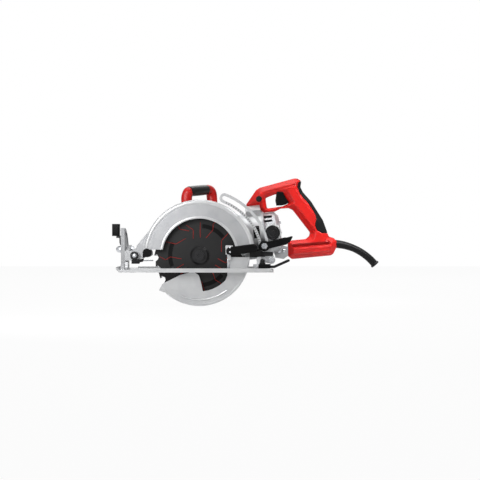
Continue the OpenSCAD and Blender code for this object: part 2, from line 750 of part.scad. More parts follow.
brush_l = 18;
module carbon_brushes() color(black) motor_frame() brush_places()
  translate([-brush_w / 2, -brush_w / 2, comm_r + pass_gap]) cube([brush_w, brush_w, brush_l]);

module brush_springs() color(steel_grey) motor_frame() brush_places()
  translate([0, 0, comm_r + pass_gap + brush_l]) linear_extrude(brush_boss_y - comm_r - pass_gap - brush_l)
    ring(brush_w / 2 - 0.3, brush_w / 2 - 1.3);

module brush_caps() color(black) motor_frame() brush_places()
  difference() {
    translate([0, 0, brush_boss_y]) cylinder(r = brush_cap_r, h = brush_cap_y - brush_boss_y);
    translate([0, 0, brush_cap_y - 1.5]) linear_extrude(3) ring(brush_cap_r - 3, brush_cap_r - 5);
    translate([-8, -1.2, brush_cap_y - 2]) cube([16, 2.4, 4]);
  }

module arbor_bearings() color(steel_grey) at_arbor() {
  for (y = [near_brg_y, far_brg_y]) tube_y(arbor_brg_r, arbor_d / 2 + pin_fit, y, y + arbor_brg_w);
}

module motor_bearings() color(steel_grey) motor_frame() {
  for (x = [front_brg_x, mid_brg_x]) tube_x(worm_brg_r, shaft_d / 2 + pin_fit, x, x + worm_brg_w);
  tube_x(rear_brg_r, shaft_d / 2 + pin_fit, rear_brg_x0, rear_brg_x1);
}

// The depth clamp on the side of the motor
clamp_block_y0 = link_y + link_t + pass_gap;
clamp_block_y1 = 34;
clamp_hub_r = 11;
clamp_hub_y0 = -8;
module motor_solid() motor_frame() {
  saddle();
  rod_x(motor_r, motor_x0 - 6, motor_x1);
  rotate([0, 90, 0]) rotate_extrude() polygon([
    [0, motor_x1], [motor_r, motor_x1], [motor_r, motor_x1 + 3], [end_r, motor_x1 + 9], [end_r, motor_x2 - 8],
    [end_r - 8, motor_x2], [0, motor_x2]
  ]);
  translate([brush_x, 0, 0]) rotate([90, 0, 0]) cylinder(r = brush_boss_r, h = brush_cap_y);
}

module clamp_block() color(black) difference() {
  at_arbor() along_y(clamp_block_y0, clamp_block_y1) difference() {
    union() {
      translate(clamp_at) circle(clamp_hub_r);
      translate([101, -4]) square([36, 13]);
      translate([clamp_at[0] - clamp_hub_r, 0]) square([2 * clamp_hub_r - 5, clamp_at[1]]);
    }
    translate(clamp_at) circle(clamp_d / 2);
  }
  motor_solid();
}

module depth_bolt() color(steel_grey) at_arbor() translate([clamp_at[0], 0, clamp_at[1]]) {
  rod_y(clamp_d / 2, clamp_hub_y0 - pass_gap, clamp_block_y0 + 14);
  translate([0, clamp_hub_y0 - pass_gap, 0]) rotate([90, 0, 0]) cylinder(r = 6.5, h = 4.5, $fn = 6);
}

module sickle() difference() {
  union() {
    bar([0, 0], [42, 10], 15);
    polygon([[36, 1], [57.5, 18.8], [55, 20], [34, 14.5]]);
    polygon([[30, 0], [52, 8], [57.5, 18.8], [34, 10]]);
  }
  translate([26, -34]) circle(28);
}
module depth_lever() color(black) at_arbor() translate([clamp_at[0], 0, clamp_at[1]]) {
  along_y(clamp_hub_y0, link_y - pass_gap) difference() {
    circle(clamp_hub_r);
    circle(clamp_d / 2 + pin_fit);
  }
  along_y(clamp_hub_y0 + 2, link_y - pass_gap - 2) difference() {
    sickle();
    circle(clamp_hub_r - 1);
  }
}

// Rear handle in two halves round a common seam
handle_y0 = motor_y - handle_w / 2;
handle_y1 = motor_y + handle_w / 2;
edge_w = 4;
edge_in = 2.2;
trigger_w = 16;
module handle_outline() offset(r = 3, $fn = 24) offset(delta = -3) polygon([
  [92.8, 103.1], [114.7, 135.3], [123, 140.5], [193.8, 159.7], [201, 159.7], [209.4, 154.1],
  [207.3, 141.6], [212.5, 131.2], [229.1, 112.4], [243.7, 91.6], [254.1, 72.9], [260.3, 56.3],
  [266.6, 38.6], [277, 35.5], [282.8, 29], [282.8, 16.7], [275.9, 2.2], [270.7, -0.9], [189.6, -8.6],
  [181.3, -2], [181.3, 28], [189.6, 30.7], [218.7, 33.4], [226, 39.6], [227.7, 46.9], [206.2, 75],
  [191.7, 93.7], [183.3, 97.9], [166.7, 96.8], [154.2, 90.6], [133.4, 88.5], [131, 84]
]);
module finger_hole() offset(r = 3, $fn = 24) offset(delta = -3) polygon([
  [134.5, 118.7], [155.3, 127], [172, 126], [184, 108], [170, 101.5], [137.6, 96.8]
]);
module trigger_pocket() polygon([
  [152, 120], [152, 139], [180, 139], [191, 112], [185, 103], [165, 101.9]
]);
module grip_outline() polygon([
  [216, 156], [215, 141], [219, 133], [236, 115], [251, 94], [262, 74], [268, 57], [270, 45.5], [252, 45.5],
  [242, 51], [237, 62], [240, 76], [236.5, 88], [222.5, 108.5], [206, 127.5], [201, 141], [203, 152]
]);
module grip_solid() intersection() {
  at_arbor() along_y(handle_y0, handle_y1) grip_outline();
  handle_solid();
}
module handle_solid() at_arbor() {
  along_y(handle_y0 + edge_w, handle_y1 - edge_w) handle_outline();
  for (y = [handle_y0, handle_y1 - edge_w]) along_y(y, y + edge_w) offset(delta = -edge_in) handle_outline();
}

switch_x0 = 186.5;
switch_x1 = 201;
switch_z0 = 114;
switch_z1 = 138;
switch_w = 18;
module switch_space() at_arbor() translate([switch_x0, motor_y - switch_w / 2, switch_z0])
  cube([switch_x1 - switch_x0, switch_w, switch_z1 - switch_z0]);

trigger_pin = [165, 133];
trigger_pin_d = 5;
boot_root_x = 266;
boot_z = 22;
boot_start_x = 286;
boot_r_bend = 84;
boot_angle = 52;
boot_tail = 14;
boot_end_r = 7;
boot_lip_d = 18;
boot_lip_l = 4;
boot_lap = 1;
module boot_root() at_arbor() translate([0, motor_y, boot_z]) rod_x(boot_d / 2, boot_root_x, boot_start_x);

handle_screw_at = [[120.7, 116.6], [248, 60], [262, 12], [200, 8], [196, 148]];
module handle_screw_places() at_arbor() for (p = handle_screw_at) translate([p[0], 0, p[1]]) children();

module handle_body() difference() {
  handle_solid();
  at_arbor() along_y(handle_y0 - 1, handle_y1 + 1) finger_hole();
  at_arbor() along_y(motor_y - trigger_w / 2 - pass_gap, motor_y + trigger_w / 2 + pass_gap) trigger_pocket();
  at_arbor() translate([trigger_pin[0], 0, trigger_pin[1]])
    rod_y(trigger_pin_d / 2 + pin_fit, motor_y - trigger_w / 2 - 5, motor_y + trigger_w / 2 + 5);
  switch_space();
  at_arbor() along_y(handle_y0 - 1, handle_y1 + 1) grip_outline();
  motor_solid();
  boot_root();
  handle_screw_places() rod_y(screw_d / 2, handle_y0 - 1, handle_y1 + 1);
}
module half_space(y0, y1) translate([0, y0, -100]) cube([400, y1 - y0, 400]);
module handle_near() color(red) intersection() { handle_body(); half_space(handle_y0 - 1, motor_y); }
module handle_far() color(red) intersection() { handle_body(); half_space(motor_y, handle_y1 + 1); }
module handle_grip() color(black) difference() {
  grip_solid();
  handle_screw_places() rod_y(screw_d / 2, handle_y0 - 1, handle_y1 + 1);
}
module handle_screw_set() handle_screw_places() rod_y(screw_d / 2, handle_y0 + edge_w, handle_y1 - edge_w);
module switch_body() color(black) switch_space();

module trigger() color(black) at_arbor() {
  along_y(motor_y - trigger_w / 2, motor_y + trigger_w / 2) polygon([
    [157.5, 103.3], [168, 103.6], [176, 105.2], [183.2, 108.8], [176.5, 120], [172.5, 127],
    [172, 137], [158, 137], [157, 124], [155.5, 114]
  ]);
  translate([trigger_pin[0], 0, trigger_pin[1]])
    rod_y(trigger_pin_d / 2, motor_y - trigger_w / 2 - 4, motor_y + trigger_w / 2 + 4);
}

// Casting that joins the handle's base to the motor
module handle_mount() color(cast_grey) difference() {
  at_arbor() along_y(handle_y0 + 4, handle_y1 - 4) polygon([
    [150, 14], [156, -6], [172, -8], [181.3, -2], [181.3, 17], [170, 20], [150, 22]
  ]);
  motor_solid();
}

// Rubber boot that guards the cord where it leaves the handle: a straight root, a bent body and a flared tail
boot_body_r = boot_end_r + 1;
boot_bend_bore_r = boot_bore_d / 2 - 0.3;
module boot_bend() translate([boot_start_x, motor_y, boot_z - boot_r_bend]) rotate([90, 0, 0])
  rotate([0, 0, 90]) children();
module boot_straight(r, x0) translate([0, motor_y, boot_z]) rod_x(r, x0, boot_start_x + boot_lap);
module boot_curved(r) boot_bend() rotate_extrude(angle = -boot_angle) translate([boot_r_bend, 0]) circle(r);
module boot_tail_turned() boot_bend() rotate(-boot_angle) translate([boot_r_bend, 0, 0]) rotate([90, 0, 0])
  rotate_extrude() children();
module cord_boot() color(black) at_arbor() difference() {
  union() {
    boot_straight(boot_d / 2, boot_root_x);
    boot_curved(boot_body_r);
    boot_tail_turned() polygon([
      [0, -boot_lap], [boot_body_r + 0.4, -boot_lap], [boot_end_r, boot_tail - boot_lip_l],
      [boot_lip_d / 2, boot_tail - boot_lip_l], [boot_lip_d / 2, boot_tail], [0, boot_tail]
    ]);
  }
  boot_straight(boot_bore_d / 2, boot_root_x - 1);
  boot_curved(boot_bend_bore_r);
  boot_tail_turned() translate([0, -boot_lap]) square([boot_bore_d / 2, boot_tail + boot_lap + 1]);
}

// Top handle: two legs that bow outwards and a grip between them
aux_near_top = [-22.5, aux_near[1] + 2, 131.3];
aux_far_top = [15, motor_y + 21.5, 138.3];
aux_near_mid = [-27.8, aux_near[1], 119];
aux_far_mid = [24, motor_y + 25, 121];
aux_axis = aux_far_top - aux_near_top;
aux_l = norm(aux_axis);
grip_inset = 8;
module along_aux() translate(aux_near_top)
  rotate([0, acos(aux_axis[2] / aux_l), atan2(aux_axis[1], aux_axis[0])]) children();
module aux_ball(at) translate(at) sphere(d = aux_leg_d, $fn = 20);
module aux_leg(base, z, mid, top) {
  hull() {
    translate([base[0], base[1], z]) cylinder(d = aux_leg_d, h = 6, $fn = 20);
    aux_ball(mid);
  }
  hull() {
    aux_ball(mid);
    aux_ball(top);
  }
}
grip_l = aux_l - 2 * grip_inset;
aux_core_r = aux_d / 2 - 4.5;
module aux_handle() color(red) at_arbor() {
  difference() {
    union() {
      aux_leg(aux_near, aux_near_z, aux_near_mid, aux_near_top);
      aux_leg(aux_far, aux_far_z, aux_far_mid, aux_far_top);
    }
    along_aux() translate([0, 0, grip_inset]) cylinder(d = aux_d + 2, h = grip_l);
  }
  along_aux() cylinder(r = aux_core_r, h = aux_l);
}
module aux_grip() color(black) at_arbor() along_aux() translate([0, 0, grip_inset]) rotate_extrude() polygon([
  [aux_core_r, 0], [aux_d / 2 - 1, 0], [aux_d / 2, 4], [aux_d / 2 + 1, grip_l / 2],
  [aux_d / 2, grip_l - 4], [aux_d / 2 - 1, grip_l], [aux_core_r, grip_l]
]);

// Fasteners of the saw's body, each a separate solid
module body_screws() color(steel_grey) {
  guard_screws();
  cover_screws();
  rear_plate_screws();
  handle_screw_set();
}

// Lower guard: two cheeks and a rim that turn about the neck of the gear housing
lower_a0 = 219;
lower_a1 = 358;
far_band_r = 0.614 * lower_r;
hub_ring_r = 33;
flange_x = 0.5545 * lower_r;
lever_y1 = -guard_near - 1.5;
lever_t = 3;
// Upper edge of the near cheek as shares of the guard's radius
cheek_edge = [
  [-0.734, -0.56], [-0.594, -0.49], [-0.394, -0.39], [-0.194, -0.336],
  [-0.094, -0.336], [-0.014, -0.39], [0.026, -0.51], [0.066, -0.703]
];
module cheek_outline() {
  intersection() {
    circle(lower_r);
    polygon([
      each lower_r * cheek_edge,
      for (a = [-84:8:-44]) lower_inner_r * [cos(a), sin(a)],
      [flange_x, -40], [flange_x, -3], [lower_r, -3], [lower_r, -lower_r], [-lower_r, -lower_r]
    ]);
  }
  polygon(lower_r * [[-0.804, -0.69], [-0.734, -0.56], [-0.614, -0.574], [-0.693, -0.733]]);
}
module lower_bracket() round_plate(flange_x, flange_x + 7, -9, 16, 2);
lever_screw_z = [4, 13];
module lever_screw_places() for (z = lever_screw_z) translate([flange_x + 3.5, 0, z]) children();

module lower_guard() color(sheet_grey) at_arbor() difference() {
  union() {
    along_y(-lower_near, -lower_near + lower_wall) cheek_outline();
    along_y(-lower_near, lower_far) difference() {
      slice(lower_r, lower_a0, lower_a1);
      circle(lower_r - lower_wall);
    }
    along_y(lower_far - lower_wall, lower_far) {
      difference() {
        slice(lower_r, lower_a0, lower_a1);
        circle(far_band_r);
      }
      difference() {
        union() {
          circle(hub_ring_r);
          slice(far_band_r + 1, 250, 330);
        }
        circle(neck_r + pin_fit);
      }
    }
    along_y(lever_y1, -lower_near + lower_wall) lower_bracket();
  }
  lever_screw_places() rod_y(1.5, lever_y1 - 1, lever_y1 + 6);
}

module lift_lever() color(black) at_arbor() along_y(lever_y1 - lever_t, lever_y1) difference() {
  bar([flange_x + 6, 9], [flange_x + 52, 15], 17);
  for (z = lever_screw_z) translate([flange_x + 3.5, z]) circle(1.5);
}

module lever_screws() color(steel_grey) at_arbor() lever_screw_places() {
  rod_y(1.5, lever_y1 - lever_t, lever_y1 + 6);
  rod_y(2.6, lever_y1 - lever_t - 1.4, lever_y1 - lever_t);
}

module guard_spring() color(steel_grey) at_arbor()
  along_y(lower_far + pass_gap, guard_far - guard_wall - pass_gap) difference() {
    slice(neck_r + 4, 20, 190);
    circle(neck_r + 1);
  }

// Arbor, blade and worm wheel
flange_t = 5;
bolt_head_r = 10;
bolt_hole_r = 4;
module arbor_shaft() color(steel_grey) at_arbor() difference() {
  union() {
    rod_y(arbor_d / 2, blade_t / 2 + flange_t, far_brg_y + arbor_brg_w - 1);
    rod_y(blade_bore_d / 2, -blade_t / 2 - flange_t + 1, blade_t / 2 + flange_t);
  }
  rod_y(bolt_hole_r, -20, 20);
}

module flanges() color(black) at_arbor() {
  tube_y(flange_d / 2, blade_bore_d / 2, blade_t / 2, blade_t / 2 + flange_t);
  rotate([90, 0, 0]) translate([0, 0, blade_t / 2]) rotate_extrude() polygon([
    [blade_bore_d / 2, 0], [flange_d / 2, 0], [flange_d / 2, 2],
    [flange_d / 2 - 4, flange_t], [blade_bore_d / 2, flange_t]
  ]);
}

module blade_bolt() color(steel_grey) at_arbor() {
  rod_y(bolt_hole_r, -blade_t / 2 - flange_t, 20);
  rotate([90, 0, 0]) translate([0, 0, blade_t / 2 + flange_t]) difference() {
    cylinder(r = bolt_head_r, h = 4);
    translate([0, 0, 1]) cylinder(r = 5, h = 6, $fn = 6);
  }
}

tooth_a = 360 / tooth_n;
slot_n = 3;
module blade() color(black) at_arbor() along_y(-blade_t / 2, blade_t / 2) difference() {
  polygon([for (i = [0:tooth_n - 1]) each [
    polar(blade_r, i * tooth_a),
    polar(blade_r - gullet * 0.55, i * tooth_a - tooth_a * 0.1),
    polar(blade_r - gullet, i * tooth_a + tooth_a * 0.16),
    polar(blade_r - gullet * 0.8, i * tooth_a + tooth_a * 0.36),
    polar(blade_r - gullet * 0.25, i * tooth_a + tooth_a * 0.5)
  ]]);
  circle(blade_bore_d / 2);
  for (i = [0:slot_n - 1]) rotate(i * 360 / slot_n + 40) arc_slot(blade_r * 0.62, 0.8, 0, 26);
}

// Involute outline across a helical gear's axis, thinned for backlash
function involute(a) = tan(a) * 180 / PI - a;
function flank_angle(half, at, rb, r) = half + involute(at) - involute(acos(min(1, rb / r)));
module gear_outline(teeth, helix, pitch_r) {
  at = atan(tan(normal_angle) / cos(helix));
  rb = pitch_r * cos(at);
  tip = pitch_r + gear_module;
  root = pitch_r - 1.25 * gear_module;
  half = 90 / teeth - backlash / cos(helix) / 2 / pitch_r * 180 / PI;
  start = max(rb, root);
  steps = 4;
  radii = [for (i = [0:steps]) start + (tip - start) * i / steps];
  polygon([for (t = [0:teeth - 1]) each concat(
    [polar(root, t * 360 / teeth - flank_angle(half, at, rb, start) - 0.5)],
    [for (r = radii) polar(r, t * 360 / teeth - flank_angle(half, at, rb, r))],
    [for (i = [steps:-1:0]) polar(radii[i], t * 360 / teeth + flank_angle(half, at, rb, radii[i]))],
    [polar(root, t * 360 / teeth + flank_angle(half, at, rb, start) + 0.5)]
  )]);
}

worm_turns = 360 * worm_l / worm_lead;
wheel_turn = 360 * wheel_w / wheel_lead;
module worm_wheel() color(bronze) at_arbor() rotate([0, -motor_tilt, 0])
  translate([0, motor_y, 0]) difference() {
  rotate([90, 0, 0]) rotate(90 + 180 / wheel_teeth - wheel_turn / 2)
    linear_extrude(wheel_w, center = true, twist = -wheel_turn, slices = 6, $fn = 16)
    gear_outline(wheel_teeth, wheel_helix, wheel_pitch_r);
  rod_y(arbor_d / 2, -wheel_w, wheel_w);
}

module worm() color(steel_grey) motor_frame() difference() {
  rotate([0, 90, 0]) rotate(-worm_turns / 2)
    linear_extrude(worm_l, center = true, twist = -worm_turns, slices = 44, $fn = 16)
    gear_outline(worm_starts, worm_helix, worm_pitch_r);
  rod_x(worm_shaft_r, -worm_l, worm_l);
}

// Armature: shaft, laminated core with its windings, fan and commutator
worm_shaft_r = 3.6;
core_r = stator_in_r - air_gap;
fan_x = motor_x0 + 1;
fan_r = 38;
module armature_shaft() color(steel_grey) motor_frame() {
  rod_x(worm_shaft_r, worm_x0, -worm_x0);
  rod_x(shaft_d / 2, front_brg_x, worm_x0);
  rod_x(shaft_d / 2, -worm_x0, rear_brg_x1);
}
module armature_core() color(copper) motor_frame() {
  tube_x(core_r, shaft_d / 2, stator_x0, stator_x1);
  tube_x(core_r - 6, shaft_d / 2, stator_x1, stator_x1 + 8);
}
module fan() color(black) motor_frame() {
  tube_x(fan_r, shaft_d / 2, fan_x, fan_x + 2);
  for (a = [0:30:330]) rotate([a, 0, 0]) translate([fan_x + 2, shaft_d / 2 + 6, -0.8])
    cube([6, fan_r - shaft_d / 2 - 8, 1.6]);
}
module commutator() color(copper) motor_frame() tube_x(comm_r, shaft_d / 2, comm_x0, comm_x1);

foot_plate();
bevel_quadrant();
quadrant_screws();
rear_ear();
bevel_pins();
wrench_holder();
bumper();
line_guide();
blade_wrench();
front_bracket();
pivot_pin();
bevel_bolt();
rear_bracket();
link_pin();
bevel_lever();
bevel_lever_tip();
depth_link();
upper_guard();
chip_deflector();
gear_housing();
gear_cover();
oil_plug();
motor_housing();
end_cap();
body_screws();
stator_core();
field_windings();
brush_holders();
carbon_brushes();
brush_springs();
brush_caps();
arbor_bearings();
motor_bearings();
clamp_block();
depth_bolt();
handle_mount();
handle_near();
handle_far();
handle_grip();
switch_body();
cord_boot();
aux_handle();
aux_grip();
guard_spring();
lower_guard();
lift_lever();
lever_screws();
arbor_shaft();
worm_wheel();
flanges();
blade();
blade_bolt();
armature_shaft();
worm();
armature_core();
fan();
commutator();
trigger();
depth_lever();
lock_button();
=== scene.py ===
"""Worm drive circular saw: finishes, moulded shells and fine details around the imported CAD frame.

Everything is in metres in the CAD frame: the sole of the foot is Z = 0, the arbor stands over the origin,
the blade lies in Y = 0, +X points to the rear handle and -Y is the side that the camera sees.
"""
import json
import math

import bmesh
import bpy
import numpy as np
from mathutils import Matrix, Vector


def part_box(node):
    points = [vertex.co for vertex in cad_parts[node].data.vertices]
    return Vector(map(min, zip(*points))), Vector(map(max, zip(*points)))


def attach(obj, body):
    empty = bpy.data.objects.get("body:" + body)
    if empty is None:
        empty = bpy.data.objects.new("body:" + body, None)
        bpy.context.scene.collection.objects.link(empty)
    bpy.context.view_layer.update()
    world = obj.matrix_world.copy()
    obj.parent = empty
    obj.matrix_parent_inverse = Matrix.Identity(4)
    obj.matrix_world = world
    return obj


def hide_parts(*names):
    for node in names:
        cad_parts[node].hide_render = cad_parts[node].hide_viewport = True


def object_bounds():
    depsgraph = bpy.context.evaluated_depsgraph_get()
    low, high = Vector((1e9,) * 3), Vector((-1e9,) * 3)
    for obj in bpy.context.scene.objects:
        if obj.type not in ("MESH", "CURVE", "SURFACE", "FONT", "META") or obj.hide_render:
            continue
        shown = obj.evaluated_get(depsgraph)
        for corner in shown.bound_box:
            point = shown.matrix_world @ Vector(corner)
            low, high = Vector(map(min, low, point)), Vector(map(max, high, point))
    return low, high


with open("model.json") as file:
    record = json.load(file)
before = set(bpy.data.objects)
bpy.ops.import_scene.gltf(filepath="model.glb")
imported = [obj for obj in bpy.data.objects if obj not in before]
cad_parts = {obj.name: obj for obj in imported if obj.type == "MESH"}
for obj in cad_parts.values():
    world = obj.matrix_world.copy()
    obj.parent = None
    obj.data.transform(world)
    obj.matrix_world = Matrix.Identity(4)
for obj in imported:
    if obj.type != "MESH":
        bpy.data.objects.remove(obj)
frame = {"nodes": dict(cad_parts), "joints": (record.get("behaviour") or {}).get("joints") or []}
cad_low, cad_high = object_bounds()
NODES = frame["nodes"]
JOINTS = {j["name"]: j for j in frame["joints"]}
MM = 0.001
WELD = 0.001 * MM          # points closer than this are one point
CUT = 1e-7                 # tolerance of a cut by a plane
STRAIGHT = 0.02 * MM       # points closer than this to a straight run lie on it
TOWARDS = Vector((0, -1, 0))   # from the saw to the camera's side


# Colour and node helpers

def srgb(code):
    """An sRGB hex value as linear RGBA."""
    channels = [int(code[i:i + 2], 16) / 255 for i in (1, 3, 5)]
    return [c / 12.92 if c <= 0.04045 else ((c + 0.055) / 1.055) ** 2.4 for c in channels] + [1.0]


def add(tree, kind, feeds=None, **settings):
    """Adds one node; feeds maps its input sockets to values or to other nodes' outputs."""
    made = tree.nodes.new(kind)
    for key, value in settings.items():
        setattr(made, key, value)
    for socket, value in (feeds or {}).items():
        if isinstance(value, bpy.types.NodeSocket):
            tree.links.new(value, made.inputs[socket])
        else:
            made.inputs[socket].default_value = value
    return made


# Materials

EDGE_ROUND = 0.5 * MM      # radius that catches the light along an otherwise sharp edge
PATCH_RAMP = (0.38, 0.55)  # part of the noise over which one colour turns into the other
GRAIN_RANGE = (0.3, 0.7)   # part of the noise that the grain's gloss follows


def finish(name, colour, worn, rough, grain, relief, metal=0.0, patch=25.0, shine=0.5, stretch=(1, 1, 1)):
    """A surface that varies between two colours in patches, with a fine grain in its relief and gloss.

    rough is the lowest and highest roughness, grain and patch are sizes in mm and relief is the grain's
    height in mm. shine is the strength of the reflection, and stretch draws the grain out along an axis,
    as turning does.
    """
    material = bpy.data.materials.new(name)
    material.use_nodes = True
    tree = material.node_tree
    shader = tree.nodes["Principled BSDF"]
    where = add(tree, "ShaderNodeTexCoord").outputs["Object"]
    drawn = add(tree, "ShaderNodeMapping", {"Vector": where, "Scale": stretch}).outputs["Vector"]
    blotch = add(tree, "ShaderNodeTexNoise", {"Vector": where, "Scale": 1 / (patch * MM), "Detail": 3.0})
    fine = add(tree, "ShaderNodeTexNoise", {"Vector": drawn, "Scale": 1 / (grain * MM), "Detail": 2.0})
    tint = add(tree, "ShaderNodeValToRGB", {"Fac": blotch.outputs["Fac"]})
    tint.color_ramp.elements[0].position = PATCH_RAMP[0]
    tint.color_ramp.elements[0].color = srgb(worn)
    tint.color_ramp.elements[1].position = PATCH_RAMP[1]
    tint.color_ramp.elements[1].color = srgb(colour)
    gloss = add(tree, "ShaderNodeMapRange", {
        "Value": fine.outputs["Fac"], "From Min": GRAIN_RANGE[0], "From Max": GRAIN_RANGE[1],
        "To Min": rough[0], "To Max": rough[1]})
    soft_edge = add(tree, "ShaderNodeBevel", {"Radius": EDGE_ROUND}, samples=4)
    bump = add(tree, "ShaderNodeBump", {
        "Height": fine.outputs["Fac"], "Distance": relief * MM, "Strength": 1.0,
        "Normal": soft_edge.outputs["Normal"]})
    tree.links.new(tint.outputs["Color"], shader.inputs["Base Color"])
    tree.links.new(gloss.outputs["Result"], shader.inputs["Roughness"])
    tree.links.new(bump.outputs["Normal"], shader.inputs["Normal"])
    shader.inputs["Metallic"].default_value = metal
    shader.inputs["Specular IOR Level"].default_value = shine
    return material


# Die-cast magnesium, shot-blasted and clear-lacquered: pale and even, with a faint sandy grain
cast_magnesium = finish("cast_magnesium", "#C6C7C8", "#BFC0C2", (0.32, 0.42), 1.1, 0.009, metal=0.4)
# Pressure-cast aluminium, tumbled smooth: brighter than the magnesium with soft broad reflections
satin_aluminium = finish("satin_aluminium", "#D0D1D2", "#CACBCD", (0.28, 0.38), 0.8, 0.006, metal=0.45)
# Sand-cast aluminium of the brackets, end cap and upper guard: greyer and duller than the foot and the rims
sand_aluminium = finish("sand_aluminium", "#B2B3B5", "#AAABAE", (0.34, 0.46), 1.0, 0.007, metal=0.45)
# Zinc-plated screws and pins: bluish bright metal
zinc_steel = finish("zinc_steel", "#D2D4D8", "#B8BBC0", (0.16, 0.3), 0.6, 0.01, metal=1.0, patch=6.0)
# Turned and ground steel: tight circular tool marks, drawn as streaks coarse enough to show
turned_steel = finish("turned_steel", "#A7A9AD", "#8F9196", (0.24, 0.4), 0.9, 0.015, metal=1.0,
                      stretch=(6, 1, 6))
# Glass-filled black nylon: dull, faintly mottled, spark-eroded mould texture
black_nylon = finish("black_nylon", "#070708", "#040405", (0.34, 0.46), 0.9, 0.04, shine=0.12)
# Soft black rubber: matt, with a slightly grey bloom
black_rubber = finish("black_rubber", "#111112", "#0D0D0E", (0.36, 0.46), 0.9, 0.015, shine=0.2)
# Red ABS shells: an even satin skin with soft broad highlights
red_abs = finish("red_abs", "#D8160F", "#D2150F", (0.32, 0.4), 1.6, 0.004, shine=0.45)
# Blade with a black low-friction coating: semi-matt with faint grinding marks
coated_blade = finish("coated_blade", "#0C0C0D", "#08080A", (0.36, 0.5), 1.2, 0.015, patch=40.0, shine=0.35)
# Black oxide on steel levers and flanges: dark satin with a trace of grey at worn places
black_oxide = finish("black_oxide", "#161617", "#232325", (0.3, 0.42), 0.8, 0.02, metal=0.3, shine=0.4)
# Tin bronze worm wheel: warm yellow-brown metal
tin_bronze = finish("tin_bronze", "#B98A4E", "#A5793F", (0.25, 0.4), 0.8, 0.01, metal=1.0)
# Enamelled copper wire: amber-brown lacquer over metal
enamelled_copper = finish("enamelled_copper", "#A5552B", "#8A4421", (0.25, 0.38), 0.7, 0.05, metal=0.7)
# Carbon brushes and the laminated iron: dry dark grey
dry_carbon = finish("dry_carbon", "#2B2B2D", "#202022", (0.6, 0.75), 0.6, 0.03)

NODE_FINISHES = {
    cast_magnesium: "gear_housing gear_cover motor_housing",
    sand_aluminium: "upper_guard end_cap bevel_quadrant rear_ear front_bracket rear_bracket handle_mount",
    satin_aluminium: "foot_plate lower_guard depth_link line_guide",
    zinc_steel: "quadrant_screws bevel_pins pivot_pin bevel_bolt link_pin body_screws depth_bolt "
                "lever_screws guard_spring brush_springs oil_plug",
    turned_steel: "arbor_bearings motor_bearings arbor_shaft armature_shaft worm",
    # chip_deflector is black as painted shade for the dark inside of the guard's front
    black_nylon: "wrench_holder bevel_lever_tip chip_deflector brush_holders brush_caps switch_body trigger "
                 "fan lock_button depth_lever lift_lever",
    black_rubber: "bumper handle_grip cord_boot aux_grip",
    red_abs: "handle_near handle_far aux_handle",
    coated_blade: "blade",
    # clamp_block is black as painted shade for the shadowed underside of the motor housing
    black_oxide: "flanges blade_bolt blade_wrench bevel_lever clamp_block",
    tin_bronze: "worm_wheel",
    enamelled_copper: "field_windings commutator",
    dry_carbon: "carbon_brushes stator_core armature_core",
}
for material, names in NODE_FINISHES.items():
    for name in names.split():
        NODES[name].data.materials.clear()
        NODES[name].data.materials.append(material)


# Camera: level, square to the blade, 2 m from it

CAMERA_DISTANCE = 2.0
CAMERA_X = 81.4 * MM
CAMERA_Z = 64.3 * MM
VIEW_WIDTH = 970 * MM      # width that the photograph takes in at the blade's plane
camera = bpy.data.objects.new("camera", bpy.data.cameras.new("camera"))
bpy.context.scene.collection.objects.link(camera)
camera.location = (CAMERA_X, -CAMERA_DISTANCE, CAMERA_Z)
camera.rotation_euler = (math.radians(90), 0, 0)
camera.data.lens = camera.data.sensor_width * CAMERA_DISTANCE / VIEW_WIDTH
camera.data.clip_start = 0.05
bpy.context.scene.camera = camera

# Floor, backdrop and light

STUDIO = 3.0               # half size of the floor
FLOOR_GAP = 0.5 * MM       # between the lowest point of the saw and the floor
PAPER_GLOW = 0.96          # share of the floor's brightness that no shadow takes away
ROOM_HEIGHTS = (-0.35, 0.75)   # heights of aim between which the room turns from dim to bright
ROOM_LIGHT = (0.1, 1.3)    # its brightness at those heights
ROOM_SHARES = (0.08, 0.7)  # share of the room's light that matt surfaces and reflections get


def studio_material(name, shade, lit_share):
    """White paper that shows as plain white to the camera and in reflections, and still takes a shadow."""
    material = bpy.data.materials.new(name)
    material.use_nodes = True
    tree = material.node_tree
    paper = tree.nodes["Principled BSDF"]
    paper.inputs["Base Color"].default_value = srgb(shade)
    paper.inputs["Roughness"].default_value = 0.9
    glow = add(tree, "ShaderNodeEmission", {"Color": srgb("#FFFFFF"), "Strength": 1.0})
    path = add(tree, "ShaderNodeLightPath")
    seen = add(tree, "ShaderNodeMath", {0: path.outputs["Is Camera Ray"], 1: path.outputs["Is Glossy Ray"]},
               operation="MAXIMUM")
    share = add(tree, "ShaderNodeMath", {0: seen.outputs["Value"], 1: lit_share}, operation="MULTIPLY")
    mixed = add(tree, "ShaderNodeMixShader", {
        0: share.outputs["Value"], 1: paper.outputs["BSDF"], 2: glow.outputs["Emission"]})
    tree.links.new(mixed.outputs["Shader"], tree.nodes["Material Output"].inputs["Surface"])
    return material


def studio_sheet(name, corners, material):
    mesh = bpy.data.meshes.new(name)
    mesh.from_pydata(corners, [], [(0, 1, 2, 3)])
    mesh.materials.append(material)
    sheet = bpy.data.objects.new(name, mesh)
    bpy.context.scene.collection.objects.link(sheet)


floor_z = cad_low.z - FLOOR_GAP
studio_sheet("floor", [(-STUDIO, -STUDIO, floor_z), (STUDIO, -STUDIO, floor_z),
                       (STUDIO, STUDIO, floor_z), (-STUDIO, STUDIO, floor_z)],
             studio_material("floor_paper", "#F2F2F2", PAPER_GLOW))

world = bpy.data.worlds.new("studio")
world.use_nodes = True
bpy.context.scene.world = world
sky = world.node_tree
backdrop = sky.nodes["Background"]
backdrop.inputs["Color"].default_value = srgb("#FFFFFF")
